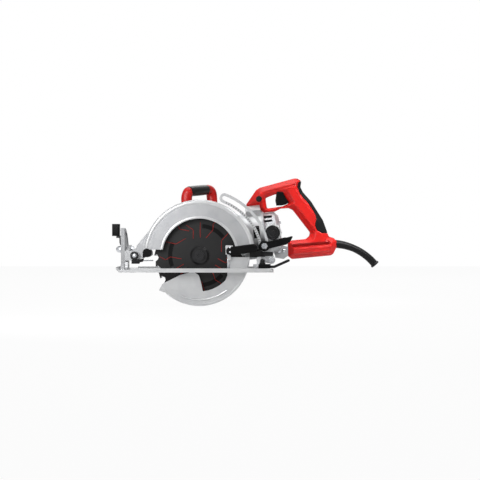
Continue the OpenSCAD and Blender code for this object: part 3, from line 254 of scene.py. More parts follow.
# The camera sees plain white; reflections and the soft light see a room that is bright overhead and dim below
path = add(sky, "ShaderNodeLightPath")
aim = add(sky, "ShaderNodeSeparateXYZ", {0: add(sky, "ShaderNodeTexCoord").outputs["Generated"]})
room = add(sky, "ShaderNodeMapRange", {
    "Value": aim.outputs["Z"], "From Min": ROOM_HEIGHTS[0], "From Max": ROOM_HEIGHTS[1],
    "To Min": ROOM_LIGHT[0], "To Max": ROOM_LIGHT[1]})
share = add(sky, "ShaderNodeMapRange", {
    "Value": path.outputs["Is Glossy Ray"], "To Min": ROOM_SHARES[0], "To Max": ROOM_SHARES[1]})
dimmed = add(sky, "ShaderNodeMath", {0: room.outputs["Result"], 1: share.outputs["Result"]},
             operation="MULTIPLY")
strength = add(sky, "ShaderNodeMix", {
    "Factor": path.outputs["Is Camera Ray"], "A": dimmed.outputs["Value"], "B": 1.0})
sky.links.new(strength.outputs["Result"], backdrop.inputs["Strength"])


def softbox(name, place, aim, size, watts, spread=180):
    """A square area lamp that faces a point; size is in metres, spread is the beam's angle in degrees."""
    lamp = bpy.data.lights.new(name, "AREA")
    lamp.size = size
    lamp.energy = watts
    lamp.spread = math.radians(spread)
    holder = bpy.data.objects.new(name, lamp)
    bpy.context.scene.collection.objects.link(holder)
    holder.location = place
    holder.rotation_euler = (Vector(aim) - Vector(place)).to_track_quat("-Z", "Y").to_euler()


saw_middle = (cad_low + cad_high) / 2
softbox("key_light", (-0.25, -0.56, 0.26), (0, 0, 0.03), 0.3, 2.2)
softbox("top_light", (0.0, -0.16, 1.1), (0.1, 0, 0.1), 0.7, 3.8)
softbox("handle_light", (0.5, -0.36, 0.62), (0.29, 0.05, 0.13), 0.2, 0.34, 40)
softbox("back_light", (0.3, 1.4, 1.2), saw_middle, 1.0, 9)

bpy.context.scene.view_settings.view_transform = "Standard"


# Mesh helpers

def put(name, mesh, material, body, replaced=(), smooth_angle=40):
    """A finished piece at the origin that rides on a body and stands for the CAD nodes it replaces."""
    mesh.name = name
    mesh.materials.clear()
    mesh.materials.append(material)
    mesh.shade_smooth()
    mesh.set_sharp_from_angle(angle=math.radians(smooth_angle))
    piece = bpy.data.objects.new(name, mesh)
    bpy.context.scene.collection.objects.link(piece)
    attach(piece, body)
    if replaced:
        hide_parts(*replaced)
    return piece


def evaluated_mesh(holder):
    """The mesh that an object's curve, modifiers or node tree makes; the object itself goes away."""
    bpy.context.view_layer.update()
    mesh = bpy.data.meshes.new_from_object(holder.evaluated_get(bpy.context.evaluated_depsgraph_get()))
    bpy.data.objects.remove(holder)
    return mesh


def chained(edges):
    """Closed loops of points from a set of edges, each a frozenset of two points."""
    loops = []
    while edges:
        first, here = edges.pop()
        loop = [first, here]
        while True:
            step = next((e for e in edges if here in e), None)
            if step is None:
                break
            edges.discard(step)
            here = next(p for p in step if p != here)
            if here == first:
                break
            loop.append(here)
        loops.append(loop)
    return loops


def loop_area(loop):
    return abs(sum(a[0] * b[1] - b[0] * a[1] for a, b in zip(loop, loop[1:] + loop[:1]))) / 2


def corners_only(loop):
    """The loop without the points that lie on a straight run between their neighbours."""
    kept = []
    for here, after in zip(loop, loop[1:] + loop[:1]):
        before = kept[-1] if kept else loop[-1]
        run = Vector(after) - Vector(before)
        step = Vector(here) - Vector(before)
        if abs(run.x * step.y - run.y * step.x) > STRAIGHT * run.length:
            kept.append(here)
    return kept


def section_outlines(nodes, y, least_area):
    """Loops of (x, z) round the section of CAD nodes at Y = y as one body.

    Holes smaller than least_area, in mm2, are left out.
    """
    edges = set()
    for node in nodes:
        solid = bmesh.new()
        solid.from_mesh(NODES[node].data)
        bmesh.ops.remove_doubles(solid, verts=solid.verts, dist=2 * WELD)
        cut = bmesh.ops.bisect_plane(solid, geom=solid.verts[:] + solid.edges[:] + solid.faces[:], dist=CUT,
                                     plane_co=(0, y, 0), plane_no=(0, 1, 0))["geom_cut"]
        ends = [[(round(v.co.x, 5), round(v.co.z, 5)) for v in e.verts]
                for e in cut if isinstance(e, bmesh.types.BMEdge)]
        solid.free()
        for loop in chained({frozenset(pair) for pair in ends if pair[0] != pair[1]}):
            loop = corners_only(loop)
            if len(loop) > 2:
                edges ^= {frozenset(pair) for pair in zip(loop, loop[1:] + loop[:1])}
    return [loop for loop in chained(edges) if loop_area(loop) > least_area * MM * MM]


def welded(mesh):
    """The mesh with its doubled points merged and its faces pointing outwards."""
    solid = bmesh.new()
    solid.from_mesh(mesh)
    bmesh.ops.remove_doubles(solid, verts=solid.verts, dist=WELD)
    bmesh.ops.recalc_face_normals(solid, faces=solid.faces)
    solid.to_mesh(mesh)
    solid.free()
    return mesh


def soft_plate(name, loops, y_low, y_high, edge, grow=0.0):
    """A plate across Y with outlines in X and Z, whose edges are rounded by edge and which grows by grow."""
    curve = bpy.data.curves.new(name, "CURVE")
    curve.dimensions = "2D"
    curve.fill_mode = "BOTH"
    curve.extrude = (y_high - y_low) / 2 - edge
    curve.bevel_depth = edge
    curve.bevel_resolution = 4
    curve.offset = grow - edge
    for loop in loops:
        spline = curve.splines.new("POLY")
        spline.points.add(len(loop) - 1)
        for point, (x, z) in zip(spline.points, loop):
            point.co = (x, z, 0, 1)
        spline.use_cyclic_u = True
    holder = bpy.data.objects.new(name, curve)
    bpy.context.scene.collection.objects.link(holder)
    mesh = evaluated_mesh(holder)
    mesh.transform(Matrix.Translation((0, (y_low + y_high) / 2, 0)) @ Matrix.Rotation(math.pi / 2, 4, "X"))
    return welded(mesh)


def depth_inside(points, loops):
    """Distance in X and Z of each point from the nearest of the outlines."""
    nearest = np.full(len(points), np.inf)
    for loop in loops:
        starts = np.array(loop)
        runs = np.roll(starts, -1, axis=0) - starts
        for start, run in zip(starts, runs):
            along = np.clip(((points - start) @ run) / (run @ run), 0, 1)
            nearest = np.minimum(nearest, np.linalg.norm(points - start - along[:, None] * run, axis=1))
    return nearest


def calmed(mesh, rounds):
    """The mesh with the small steps of its surface smoothed away."""
    holder = bpy.data.objects.new(mesh.name, mesh)
    bpy.context.scene.collection.objects.link(holder)
    calm = holder.modifiers.new("calm", "SMOOTH")
    calm.factor = 0.5
    calm.iterations = rounds
    return evaluated_mesh(holder)


PLATE_ROUND = 0.3 * MM     # rounding of a moulded plate's edges before it swells
GROOVE_EASE = 2.6 * MM     # width over which a groove's side slopes
CALM_OUTLINE = 10          # rounds of smoothing before a moulded plate swells
CALM_FACE = 9              # rounds of smoothing after it


def crowned_plate(name, loops, y_low, y_high, crown, wall, voxel, outline=None, swell=1.0, grooves=()):
    """A moulded plate across Y that swells from a narrow wall at its outline to full width at depth crown.

    wall is the width of that wall as a share of the full width, outline is the whole that the plate belongs
    to and swell widens the plate by a share. A groove is sunk along a line: its ends in X and Z, half width
    and depth.
    """
    holder = bpy.data.objects.new(name, soft_plate(name, loops, y_low, y_high, PLATE_ROUND))
    bpy.context.scene.collection.objects.link(holder)
    even = holder.modifiers.new("even", "REMESH")
    even.mode = "VOXEL"
    even.voxel_size = voxel
    mesh = calmed(evaluated_mesh(holder), CALM_OUTLINE)
    spots = np.empty(len(mesh.vertices) * 3, np.float32)
    mesh.vertices.foreach_get("co", spots)
    spots = spots.reshape(-1, 3)
    rise = np.clip(depth_inside(spots[:, [0, 2]].astype(float), outline or loops) / crown, 0, 1)
    share = wall + (1 - wall) * rise
    middle = (y_low + y_high) / 2
    for start, end, half, depth in grooves:
        run = np.array(end) - start
        along = np.clip(((spots[:, [0, 2]] - start) @ run) / (run @ run), 0, 1)
        off = np.linalg.norm(spots[:, [0, 2]] - start - along[:, None] * run, axis=1)
        share = share - np.clip((half - off) / GROOVE_EASE + 0.5, 0, 1) * depth / (y_high - middle)
    spots[:, 1] = middle + (spots[:, 1] - middle) * share * swell
    mesh.vertices.foreach_set("co", spots.ravel())
    mesh.update()
    return calmed(mesh, CALM_FACE)


def combine(mesh, cutter, operation):
    """The mesh with another one cut from it, shared with it or added to it."""
    pair = []
    for part in (mesh, cutter):
        holder = bpy.data.objects.new(part.name, part)
        bpy.context.scene.collection.objects.link(holder)
        pair.append(holder)
    step = pair[0].modifiers.new("combine", "BOOLEAN")
    step.operation = operation
    step.solver = "EXACT"
    step.object = pair[1]
    result = evaluated_mesh(pair[0])
    bpy.data.objects.remove(pair[1])
    return result


def half_of(mesh, y, keep_low):
    """The part of a closed mesh on one side of Y = y, closed again."""
    side = bmesh.new()
    side.from_mesh(mesh)
    cut = bmesh.ops.bisect_plane(side, geom=side.verts[:] + side.edges[:] + side.faces[:], dist=CUT,
                                 plane_co=(0, y, 0), plane_no=(0, 1, 0),
                                 clear_outer=keep_low, clear_inner=not keep_low)["geom_cut"]
    edges = [e for e in cut if isinstance(e, bmesh.types.BMEdge)]
    bmesh.ops.triangle_fill(side, edges=edges, use_beauty=True)
    bmesh.ops.recalc_face_normals(side, faces=side.faces)
    result = bpy.data.meshes.new(mesh.name)
    side.to_mesh(result)
    side.free()
    return result


def closed_mesh(name, points, faces):
    """A mesh whose doubled points are merged and whose faces point outwards."""
    mesh = bpy.data.meshes.new(name)
    mesh.from_pydata(points, [], faces)
    return welded(mesh)


def lofted(name, sections, closed=True, ring=False):
    """A skin over sections of equally many points.

    closed joins the ends of each section, and ring joins the last section to the first instead of capping
    both.
    """
    points = [point for section in sections for point in section]
    count, faces = len(sections[0]), []
    for k in range(len(sections) if ring else len(sections) - 1):
        here, there = k * count, (k + 1) % len(sections) * count
        for i in range(count if closed else count - 1):
            j = (i + 1) % count
            faces.append((here + i, here + j, there + j, there + i))
    if not ring:
        faces += [tuple(range(count)), tuple(range(len(points) - count, len(points)))]
    return closed_mesh(name, points, faces)


def square_to(axis):
    """Two directions at right angles to an axis and to each other."""
    side = Vector((0, 0, 1)) if abs(axis.z) < 0.9 else Vector((1, 0, 0))
    across = axis.cross(side).normalized()
    return across, axis.cross(across).normalized()


def turned(name, profile, origin, axis, steps=64, closed=False):
    """A body of revolution: profile gives (radius, distance along the axis) in mm, closed makes it a ring."""
    axis = Vector(axis).normalized()
    across, upward = square_to(axis)
    sections = []
    for k in range(steps):
        angle = 2 * math.pi * k / steps
        out = across * math.cos(angle) + upward * math.sin(angle)
        sections.append([Vector(origin) + (axis * along + out * radius) * MM for radius, along in profile])
    return lofted(name, sections, closed, True)


def smooth_run(values, per_step):
    """Values on a smooth curve through the given ones."""
    run = []
    for i in range(len(values) - 1):
        p0, p1, p2, p3 = (values[max(0, min(len(values) - 1, i + k))] for k in (-1, 0, 1, 2))
        for k in range(per_step):
            t = k / per_step
            run.append(0.5 * (2 * p1 + (p2 - p0) * t + (2 * p0 - 5 * p1 + 4 * p2 - p3) * t * t
                              + (3 * p1 - p0 - 3 * p2 + p3) * t ** 3))
    return run + [values[-1]]


def swept(name, path, halves, steps=28, flat=Vector((0, 1, 0)), square=1.0):
    """A limb along a path: halves are its half widths across and along flat at each point of the path.

    square above 1 fills the corners of its oval section.
    """
    sections = []
    for i, place in enumerate(path):
        ahead = (path[min(i + 1, len(path) - 1)] - path[max(i - 1, 0)]).normalized()
        across = flat.cross(ahead).normalized()
        along = ahead.cross(across).normalized()
        section = []
        for k in range(steps):
            angle = 2 * math.pi * k / steps
            c, d = (math.copysign(abs(v) ** (1 / square), v) for v in (math.cos(angle), math.sin(angle)))
            section.append(place + across * c * halves[i].x + along * d * halves[i].y)
        sections.append(section)
    return lofted(name, sections)


# Places are given in mm from the arbor, as they were measured

arbor = Vector(JOINTS["arbor_spin"]["pos_m"])
arbor.y = 0.0


def from_arbor(x, y, z):
    """The place at so many mm from the arbor's middle in the blade's plane."""
    return arbor + Vector((x, y, z)) * MM


def outline_at_arbor(points):
    """Outline points given in mm from the arbor as (x, z) in metres."""
    return [(x * MM, arbor.z + z * MM) for x, z in points]


# Rear handle: two red shells round one seam, with a soft rubber insert along the back of the grip

HANDLE_CROWN = 11 * MM     # the shells swell to full width this far inside their outline
HANDLE_WALL = 0.45         # share of the width that stands straight at the outline
SEAM_GAP = 0.15 * MM       # half the width of a moulding seam
MOULD_VOXEL = 0.9 * MM     # spacing of the points on moulded shells
SECTION_DEPTH = 5 * MM     # where the solid halves are cut to find their outline
SCREW_HOLES = 80           # holes of the halves smaller than this, in mm2, are filled
INSERT_SWELL = 1.03        # the rubber stands proud of the shells by this share of its width
# Ends, half width and depth in mm of the bead on the base, the line under it and the crease below the top
HANDLE_GROOVES = [((193, 10.8), (268, 17.2), 1.7, -1.5), ((192, 0.5), (268, 6.5), 1.5, 2.0),
                  ((128, 127.8), (199, 146.5), 1.2, 2.2)]
BASE_RECESS = [(190, 16.2), (266, 22.4), (267.5, 24.5), (266.5, 28.4), (191.5, 22.6), (189.5, 19.5)]
RECESS_DEPTH = 11.5 * MM
RECESS_EDGE = 0.6 * MM
handle_near_y, handle_seam_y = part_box("handle_near")[0].y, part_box("handle_near")[1].y
handle_far_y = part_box("handle_far")[1].y
handle_section_y = handle_near_y + SECTION_DEPTH
handle_loops = section_outlines(["handle_near", "handle_grip"], handle_section_y, SCREW_HOLES)
handle_grooves = [(*(np.array(end) for end in outline_at_arbor(line[:2])), line[2] * MM, line[3] * MM)
                  for line in HANDLE_GROOVES]
shell_loops = section_outlines(["handle_near"], handle_section_y, SCREW_HOLES)
shell = crowned_plate("handle_shell", shell_loops, handle_near_y, handle_far_y, HANDLE_CROWN, HANDLE_WALL,
                      MOULD_VOXEL, handle_loops, grooves=handle_grooves)
for low, high in ((handle_near_y - MM, handle_near_y + RECESS_DEPTH),
                  (handle_far_y - RECESS_DEPTH, handle_far_y + MM)):
    recess = soft_plate("base_recess", [outline_at_arbor(BASE_RECESS)], low, high, RECESS_EDGE)
    shell = combine(shell, recess, "DIFFERENCE")
put("handle_shell_near", half_of(shell, handle_seam_y - SEAM_GAP, True), red_abs, "saw", ["handle_near"])
put("handle_shell_far", half_of(shell, handle_seam_y + SEAM_GAP, False), red_abs, "saw", ["handle_far"])
insert_loops = section_outlines(["handle_grip"], handle_section_y, SCREW_HOLES)
insert = crowned_plate("handle_insert", insert_loops, handle_near_y, handle_far_y, HANDLE_CROWN, HANDLE_WALL,
                       MOULD_VOXEL, handle_loops, INSERT_SWELL)
put("handle_insert", insert, black_rubber, "saw", ["handle_grip"])

# Top handle: one bowed red limb with a rubber sleeve on its straight middle

# Places along the limb and its half widths across and along Y, in mm
LIMB = [(-26, 27.1, 82, 10.2, 9), (-27, 27.1, 100, 10.8, 9), (-28, 27.1, 116, 11.2, 9.2),
        (-26.5, 28, 125, 11, 9.5), (-23.5, 29.5, 130, 10.6, 9.8), (-19, 35, 131.3, 7, 7),
        (-5, 57.5, 133.9, 7, 7), (7, 77, 136.2, 7, 7), (11, 83.5, 136.9, 10.4, 9.8),
        (16.5, 90.5, 136.5, 10.6, 9.8), (20.5, 93.5, 131, 11, 9.5), (22, 94.5, 120, 11.2, 9.2),
        (23, 92, 102, 10.8, 9), (24, 88, 80, 10.2, 9)]
LIMB_STEPS = 8             # points of the curve from one place to the next
LIMB_SQUARE = 1.15         # how far its section fills its corners
limb_path = smooth_run([from_arbor(*p[:3]) for p in LIMB], LIMB_STEPS)
limb_halves = smooth_run([Vector(p[3:]) * MM for p in LIMB], LIMB_STEPS)
put("top_handle_limb", swept("top_handle_limb", limb_path, limb_halves, square=LIMB_SQUARE), red_abs, "saw",
    ["aux_handle"])
sleeve_start, sleeve_end = from_arbor(-23.5, 28.8, 130.9), from_arbor(10.5, 82.2, 136.9)
sleeve_length = (sleeve_end - sleeve_start).length / MM
sleeve = [(0, 0), (9.2, 0), (10.3, 1), (10.9, sleeve_length * 0.3), (10.9, sleeve_length * 0.7),
          (10.3, sleeve_length - 1), (9.2, sleeve_length), (0, sleeve_length)]
put("top_handle_sleeve", turned("top_handle_sleeve", sleeve, sleeve_start, sleeve_end - sleeve_start),
    black_rubber, "saw", ["aux_grip"])


def arc_band(name, profile, low, high, steps=96):
    """A bar bent round the arbor between two angles; profile gives its section as (radius, y) in mm."""
    sections = []
    for k in range(steps + 1):
        angle = math.radians(low + (high - low) * k / steps)
        sections.append([from_arbor(r * math.cos(angle), y, r * math.sin(angle)) for r, y in profile])
    return lofted(name, sections)


# Upper guard: a rounded rim and a bevelled inner lip stand proud of the flat band between them

RIM_PROUD = 0.7            # mm that the rim stands out from the guard's edge
guard_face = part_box("upper_guard")[0].y / MM
guard_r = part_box("upper_guard")[1].x / MM + RIM_PROUD
RIM = [(guard_r + out, guard_face + y) for out, y in (
    (-8.6, 1), (-8.2, -0.6), (-6.8, -1.2), (-4.6, -1.4), (-2.3, -0.9), (-0.7, 0.3), (0.2, 2.4), (0.3, 5),
    (-1, 5))]
RIM_SWEEP = (6.5, 171.8)   # degrees
put("guard_rim", arc_band("guard_rim", RIM, *RIM_SWEEP), satin_aluminium, "saw")
LIP = [(74.2, guard_face + 1), (74.2, guard_face - 0.2), (75.2, guard_face - 1.1), (77, guard_face - 1.2),
       (79.4, guard_face - 0.2), (79.6, guard_face + 1)]
LIP_SWEEP = (9.2, 170.8)
put("guard_lip", arc_band("guard_lip", LIP, *LIP_SWEEP), satin_aluminium, "saw")

# Web that runs from the rim down to the front pivot
WEB = [(-97, 55.5), (-127, 19), (-122, 11), (-108, 14), (-104, 40)]
WEB_FACES = (-9.8 * MM, -5 * MM)
WEB_EDGE = 1.2 * MM
web = soft_plate("guard_web", [outline_at_arbor(WEB)], *WEB_FACES, WEB_EDGE)
put("guard_web", web, sand_aluminium, "saw")


# Repeated small items

def repeat_tree():
    """A node tree that sets one item at every point of a mesh, turned as the point's own attribute says."""
    tree = bpy.data.node_groups.new("repeat_item", "GeometryNodeTree")
    sockets = {"Places": "Geometry", "Item": "Object", "Size": "Float", "Finish": "Material"}
    for label, kind in sockets.items():
        tree.interface.new_socket(label, in_out="INPUT", socket_type="NodeSocket" + kind)
    tree.interface.new_socket("Result", in_out="OUTPUT", socket_type="NodeSocketGeometry")
    given = add(tree, "NodeGroupInput").outputs
    item = add(tree, "GeometryNodeObjectInfo", {"Object": given["Item"]})
    turn = add(tree, "GeometryNodeInputNamedAttribute", {"Name": "turn"}, data_type="FLOAT_VECTOR")
    facing = add(tree, "FunctionNodeEulerToRotation", {"Euler": turn.outputs["Attribute"]})
    spread = add(tree, "GeometryNodeInstanceOnPoints", {
        "Points": given["Places"], "Instance": item.outputs["Geometry"],
        "Rotation": facing.outputs["Rotation"], "Scale": given["Size"]})
    real = add(tree, "GeometryNodeRealizeInstances", {"Geometry": spread.outputs["Instances"]})
    coated = add(tree, "GeometryNodeSetMaterial", {
        "Geometry": real.outputs["Geometry"], "Material": given["Finish"]})
    tree.links.new(coated.outputs["Geometry"], add(tree, "NodeGroupOutput").inputs["Result"])
    return tree


REPEAT = repeat_tree()


def repeated(name, item, places, material, body, size=1.0):
    """One piece made of an item set at every place, which is a matrix of a turn and a shift."""
    spots = bpy.data.meshes.new(name)
    spots.from_pydata([m.translation for m in places], [], [])
    turns = spots.attributes.new("turn", "FLOAT_VECTOR", "POINT")
    for value, m in zip(turns.data, places):
        value.vector = m.to_euler()
    model = bpy.data.objects.new(name + "_item", item)
    holder = bpy.data.objects.new(name, spots)
    for made in (model, holder):
        bpy.context.scene.collection.objects.link(made)
    step = holder.modifiers.new("repeat", "NODES")
    step.node_group = REPEAT
    inputs = {s.name: s.identifier for s in REPEAT.interface.items_tree if s.in_out == "INPUT"}
    step[inputs["Item"]] = model
    step[inputs["Size"]] = size
    step[inputs["Finish"]] = material
    mesh = evaluated_mesh(holder)
    bpy.data.objects.remove(model)
    return put(name, mesh, material, body)


def box_mesh(name, low, high):
    """A plain box between two corners in mm."""
    points = [Vector((x, y, z)) * MM
              for x in (low[0], high[0]) for y in (low[1], high[1]) for z in (low[2], high[2])]
    faces = [(0, 1, 3, 2), (4, 6, 7, 5), (0, 4, 5, 1), (2, 3, 7, 6), (0, 2, 6, 4), (1, 5, 7, 3)]
    return closed_mesh(name, points, faces)


def joined(name, meshes):
    """One mesh of several."""
    whole = bmesh.new()
    for mesh in meshes:
        whole.from_mesh(mesh)
    result = bpy.data.meshes.new(name)
    whole.to_mesh(result)
    whole.free()
    return result


def ribbons(name, lines, width, y_low, y_high):
    """Straight bars along lines of (x, z) places in mm from the arbor, between two Y planes."""
    bars = []
    for line in lines:
        for (x0, z0), (x1, z1) in zip(line, line[1:]):
            run = math.hypot(x1 - x0, z1 - z0)
            bar = box_mesh(name, (-width / 2, y_low, -width / 2), (run + width / 2, y_high, width / 2))
            bar.transform(Matrix.Translation(from_arbor(x0, 0, z0))
                          @ Matrix.Rotation(-math.atan2(z1 - z0, x1 - x0), 4, "Y"))
            bars.append(bar)
    return joined(name, bars)


# Blade: brazed carbide tips, expansion slots filled in black as painted shade, and thin printed lines

TEETH = 24
blade_r = (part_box("blade")[1].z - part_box("blade")[0].z) / 2 / MM
blade_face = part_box("blade")[0].y / MM
# Printed ink on the blade: dull dark red, thin enough to follow the coating's texture
printed_red = finish("printed_red_ink", "#96211B", "#871D18", (0.45, 0.55), 1.0, 0.01, shine=0.2)
# Tungsten carbide: grey, finely ground and brighter than the plate
ground_carbide = finish("ground_carbide", "#9A9B9E", "#85868A", (0.2, 0.3), 0.5, 0.01, metal=0.9)
TIP_LENGTH = 5.2           # mm along the radius
TIP_PROUD = 0.35           # mm beyond each side of the plate
tip = box_mesh("carbide_tip", (blade_r - TIP_LENGTH, blade_face - TIP_PROUD, -1.6),
               (blade_r + 0.1, TIP_PROUD - blade_face, 0.5))
tips = [Matrix.Translation(arbor) @ Matrix.Rotation(-math.radians(360 * i / TEETH), 4, "Y")
        for i in range(TEETH)]
repeated("carbide_tips", tip, tips, ground_carbide, "arbor")
SLOT_BAND = (0.605, 0.695)     # inner and outer radius of the filled slots as shares of the blade's radius
SLOT_STARTS = (38, 154, 272)   # degrees
SLOT_SWEEP = 47
SLOT_STEPS = 24
SLOT_PROUD = 0.1           # mm beyond each side of the plate
fill_y = blade_face - SLOT_PROUD
slot_section = list(zip((blade_r * share for share in (*SLOT_BAND, *SLOT_BAND[::-1])),
                        (fill_y, fill_y, -fill_y, -fill_y)))
# The black fill is painted shade: it stands for the dark gap of the slots and the shadow across them
slots = [arc_band("slot_fill", slot_section, start, start + SLOT_SWEEP, SLOT_STEPS) for start in SLOT_STARTS]
put("slot_filling", joined("slot_filling", slots), black_nylon, "arbor")
MOTIF = [[(-13, 35), (-13, 52), (-27, 61)], [(1, 37), (1, 66)], [(13, 36), (27, 52), (27, 64), (38, 71)],
         [(44, 8), (44, 30), (57, 44)], [(54, -6), (66, 8), (80, 8)]]
MOTIF_TURNS = 3
INK_WIDTH = 1.3
lines = []
for step in range(MOTIF_TURNS):
    turn = math.radians(360 / MOTIF_TURNS * step)
    c, d = math.cos(turn), math.sin(turn)
    lines += [[(x * c - z * d, x * d + z * c) for x, z in line] for line in MOTIF]
ink = ribbons("blade_print", lines, INK_WIDTH, blade_face - 0.12, blade_face + 0.1)
put("blade_print", ink, printed_red, "arbor")

# Lower guard: rolled outer edge, pressed ribs, and a painted highlight along its rear flange in bright zinc
# steel

# Near face of the cheek under the foot
lower_face = min(v.co.y for v in NODES["lower_guard"].data.vertices if v.co.z < 0) / MM
lower_r = (arbor.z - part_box("lower_guard")[0].z) / MM
ROLL = [(lower_r + out, lower_face + y) for out, y in (
    (-5, 0.5), (-4.6, -0.7), (-3, -1.1), (-1.2, -0.4), (0, 1), (0.3, 2.8), (0.3, 6), (-1, 6))]
ROLL_SWEEP = (-137, -3)    # degrees
put("lower_guard_edge", arc_band("lower_guard_edge", ROLL, *ROLL_SWEEP), satin_aluminium, "lower_guard")
RIB = [(-2.2, 0.3), (-1.4, -1.3), (0, -1.9), (1.4, -1.3), (2.2, 0.3)]
RIB_SHARE = 0.876          # of the guard's radius
RIB_SWEEP = (-116, -52)
RIB_STEPS = 60
SHORT_RIB = [(-58, -68.7), (-37.8, -72.7)]
SHORT_RIB_WIDTH = 1.8
ribs = [arc_band("rib", [(lower_r * RIB_SHARE + r, lower_face + y) for r, y in RIB], *RIB_SWEEP, RIB_STEPS),
        ribbons("rib", [SHORT_RIB], SHORT_RIB_WIDTH, lower_face - 1.3, lower_face + 0.3)]
put("lower_guard_ribs", joined("lower_guard_ribs", ribs), satin_aluminium, "lower_guard")
FLANGE_SHARE = 0.5545      # of the guard's radius
FLANGE_HALF = 1.6          # half its thickness in mm
FLANGE_ROUND = 1.1 * MM
flange_x = lower_r * FLANGE_SHARE
FLANGE_EDGE = [(flange_x - 0.5, -28), (flange_x + 5.5, -28), (flange_x + 5.5, -3), (flange_x + 1, 3),
               (flange_x - 0.5, 3)]
# The bright zinc finish on this bent edge of the guard is a painted highlight
flange = soft_plate("lower_guard_flange", [outline_at_arbor(FLANGE_EDGE)], (lower_face - FLANGE_HALF) * MM,
                    (lower_face + FLANGE_HALF) * MM, FLANGE_ROUND)
put("lower_guard_flange", flange, zinc_steel, "lower_guard")

# Levers: moulded black bars with rounded edges

LEVER_PROUD = 1.7          # mm that the lift lever's near face stands out from the solid's
# Node, body, rounding of the edges in mm and how far its near face stands out
LEVERS = (("lift_lever", "lower_guard", 2.2, LEVER_PROUD), ("depth_lever", "depth_lever", 2.4, 0),
          ("trigger", "trigger", 2.6, 0), ("bevel_lever_tip", "bevel_lever", 2.2, 0))
LEVER_HOLES = 20           # holes of the levers smaller than this, in mm2, are filled
for node, body, edge, proud in LEVERS:
    low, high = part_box(node)
    outline = section_outlines([node], (low.y + high.y) / 2, LEVER_HOLES)
    lever = soft_plate(node, outline, low.y - proud * MM, high.y, edge * MM)
    put(node + "_moulded", lever, black_nylon, body, [node])

# Bright clip behind the front end of the lift lever, and the two rivets that hold the lever to it

LEVER_CLIP = [(52.5, 2.5), (60, 1.2), (67, 1.2), (67, 20.5), (54, 20.8), (52.5, 19)]
CLIP_RIVETS = ((61.5, 16.6), (61.5, 7.2))
RIVET = [(0, 1.4), (1.2, 1.2), (2, 0.5), (2.2, -0.4), (0, -0.4)]
CLIP_HALF = 1.2 * MM       # half its thickness
CLIP_EDGE = 0.5 * MM
clip_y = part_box("lift_lever")[1].y
clip = soft_plate("lever_clip", [outline_at_arbor(LEVER_CLIP)], clip_y - CLIP_HALF, clip_y + CLIP_HALF,
                  CLIP_EDGE)
put("lever_clip", clip, satin_aluminium, "lower_guard")
rivet_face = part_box("lift_lever")[0].y - LEVER_PROUD * MM
spots = [Matrix.Translation((x * MM, rivet_face, arbor.z + z * MM)) for x, z in CLIP_RIVETS]
repeated("clip_rivets", turned("rivet", RIVET, (0, 0, 0), TOWARDS, 20), spots, zinc_steel, "lower_guard")

# Round plug that covers the front screw of the handle

PLUG = [(0, 0.5), (5.4, 0.5), (6.1, 0.2), (6.4, -0.5), (6.4, -6), (0, -6)]
plug_place = from_arbor(120.7, handle_near_y / MM, 116.6)
put("handle_plug", turned("handle_plug", PLUG, plug_place, TOWARDS, 32), black_rubber, "saw")

# Motor: brush caps with ringed faces in eight-sided frames

caps_low, caps_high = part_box("brush_caps")
cap_x, cap_z = (caps_low.x + caps_high.x) / 2, (caps_low.z + caps_high.z) / 2
CAP = [(0, 1.3), (4.6, 1.3), (5.2, 0.3), (7.6, 0.3), (8.2, 1.5), (10.4, 1.5), (11, 0.4), (12.4, 0.4),
       (13.2, 1.1), (14.2, 0.6), (14.8, -0.6), (14.8, -3), (0, -3)]
FRAME = [(14.9, -2.5), (15.4, -0.9), (17.6, -0.9), (18.8, -2.1), (18.8, -6.5), (14.9, -6.5)]
FRAME_SIDES = 8
FRAME_SMOOTH = 20          # degrees up to which its faces blend
for label, face, heading in (("near", caps_low.y, TOWARDS), ("far", caps_high.y, -TOWARDS)):
    place = Vector((cap_x, face, cap_z))
    put("brush_cap_" + label, turned("brush_cap", CAP, place, heading, 48), black_oxide, "saw")
    cap_frame = turned("cap_frame", FRAME, place, heading, FRAME_SIDES, True)
    put("cap_frame_" + label, cap_frame, cast_magnesium, "saw", smooth_angle=FRAME_SMOOTH)
CAP_SLOT = ((-6, -0.9, -0.6), (6, 0.2, 0.6))
CAP_SLOT_TURN = 35         # degrees
CAP_SLOT_OUT = 0.9 * MM    # its middle stands this far out from the cap's solid
cap_slot = box_mesh("cap_slot", *CAP_SLOT)
cap_slot.transform(Matrix.Translation(Vector((cap_x, caps_low.y - CAP_SLOT_OUT, cap_z)))
                   @ Matrix.Rotation(math.radians(CAP_SLOT_TURN), 4, "Y"))
put("cap_slot", cap_slot, black_oxide, "saw")

# Louvres: a black band, painted shade for the opening, with slats on each side of the motor housing

HOUSING_WALL = 4           # mm from the stator to the outside of the housing
armature = JOINTS["armature_spin"]
motor_axis = Vector(armature["axis"]).normalized()
motor_axis = motor_axis if motor_axis.x > 0 else -motor_axis
motor_up = motor_axis.cross(Vector((0, 1, 0))).normalized()
motor_up = motor_up if motor_up.z > 0 else -motor_up
motor_r = (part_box("stator_core")[1].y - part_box("stator_core")[0].y) / 2 / MM + HOUSING_WALL


def on_motor(x, angle, radius, side):
    """A place round the motor: x and radius in mm, degrees above its middle, side -1 near or 1 far."""
    centre = Vector(armature["pos_m"])
    centre += motor_axis * (x * MM - centre.x) / motor_axis.x
    turn = math.radians(angle)
    return centre + (Vector((0, side, 0)) * math.cos(turn) + motor_up * math.sin(turn)) * radius * MM


LOUVRE_X = (109.5, 122.5)  # mm from the arbor
LOUVRE_ANGLES = (-8, 21)   # degrees above the motor's middle
LOUVRE_STEPS = 12
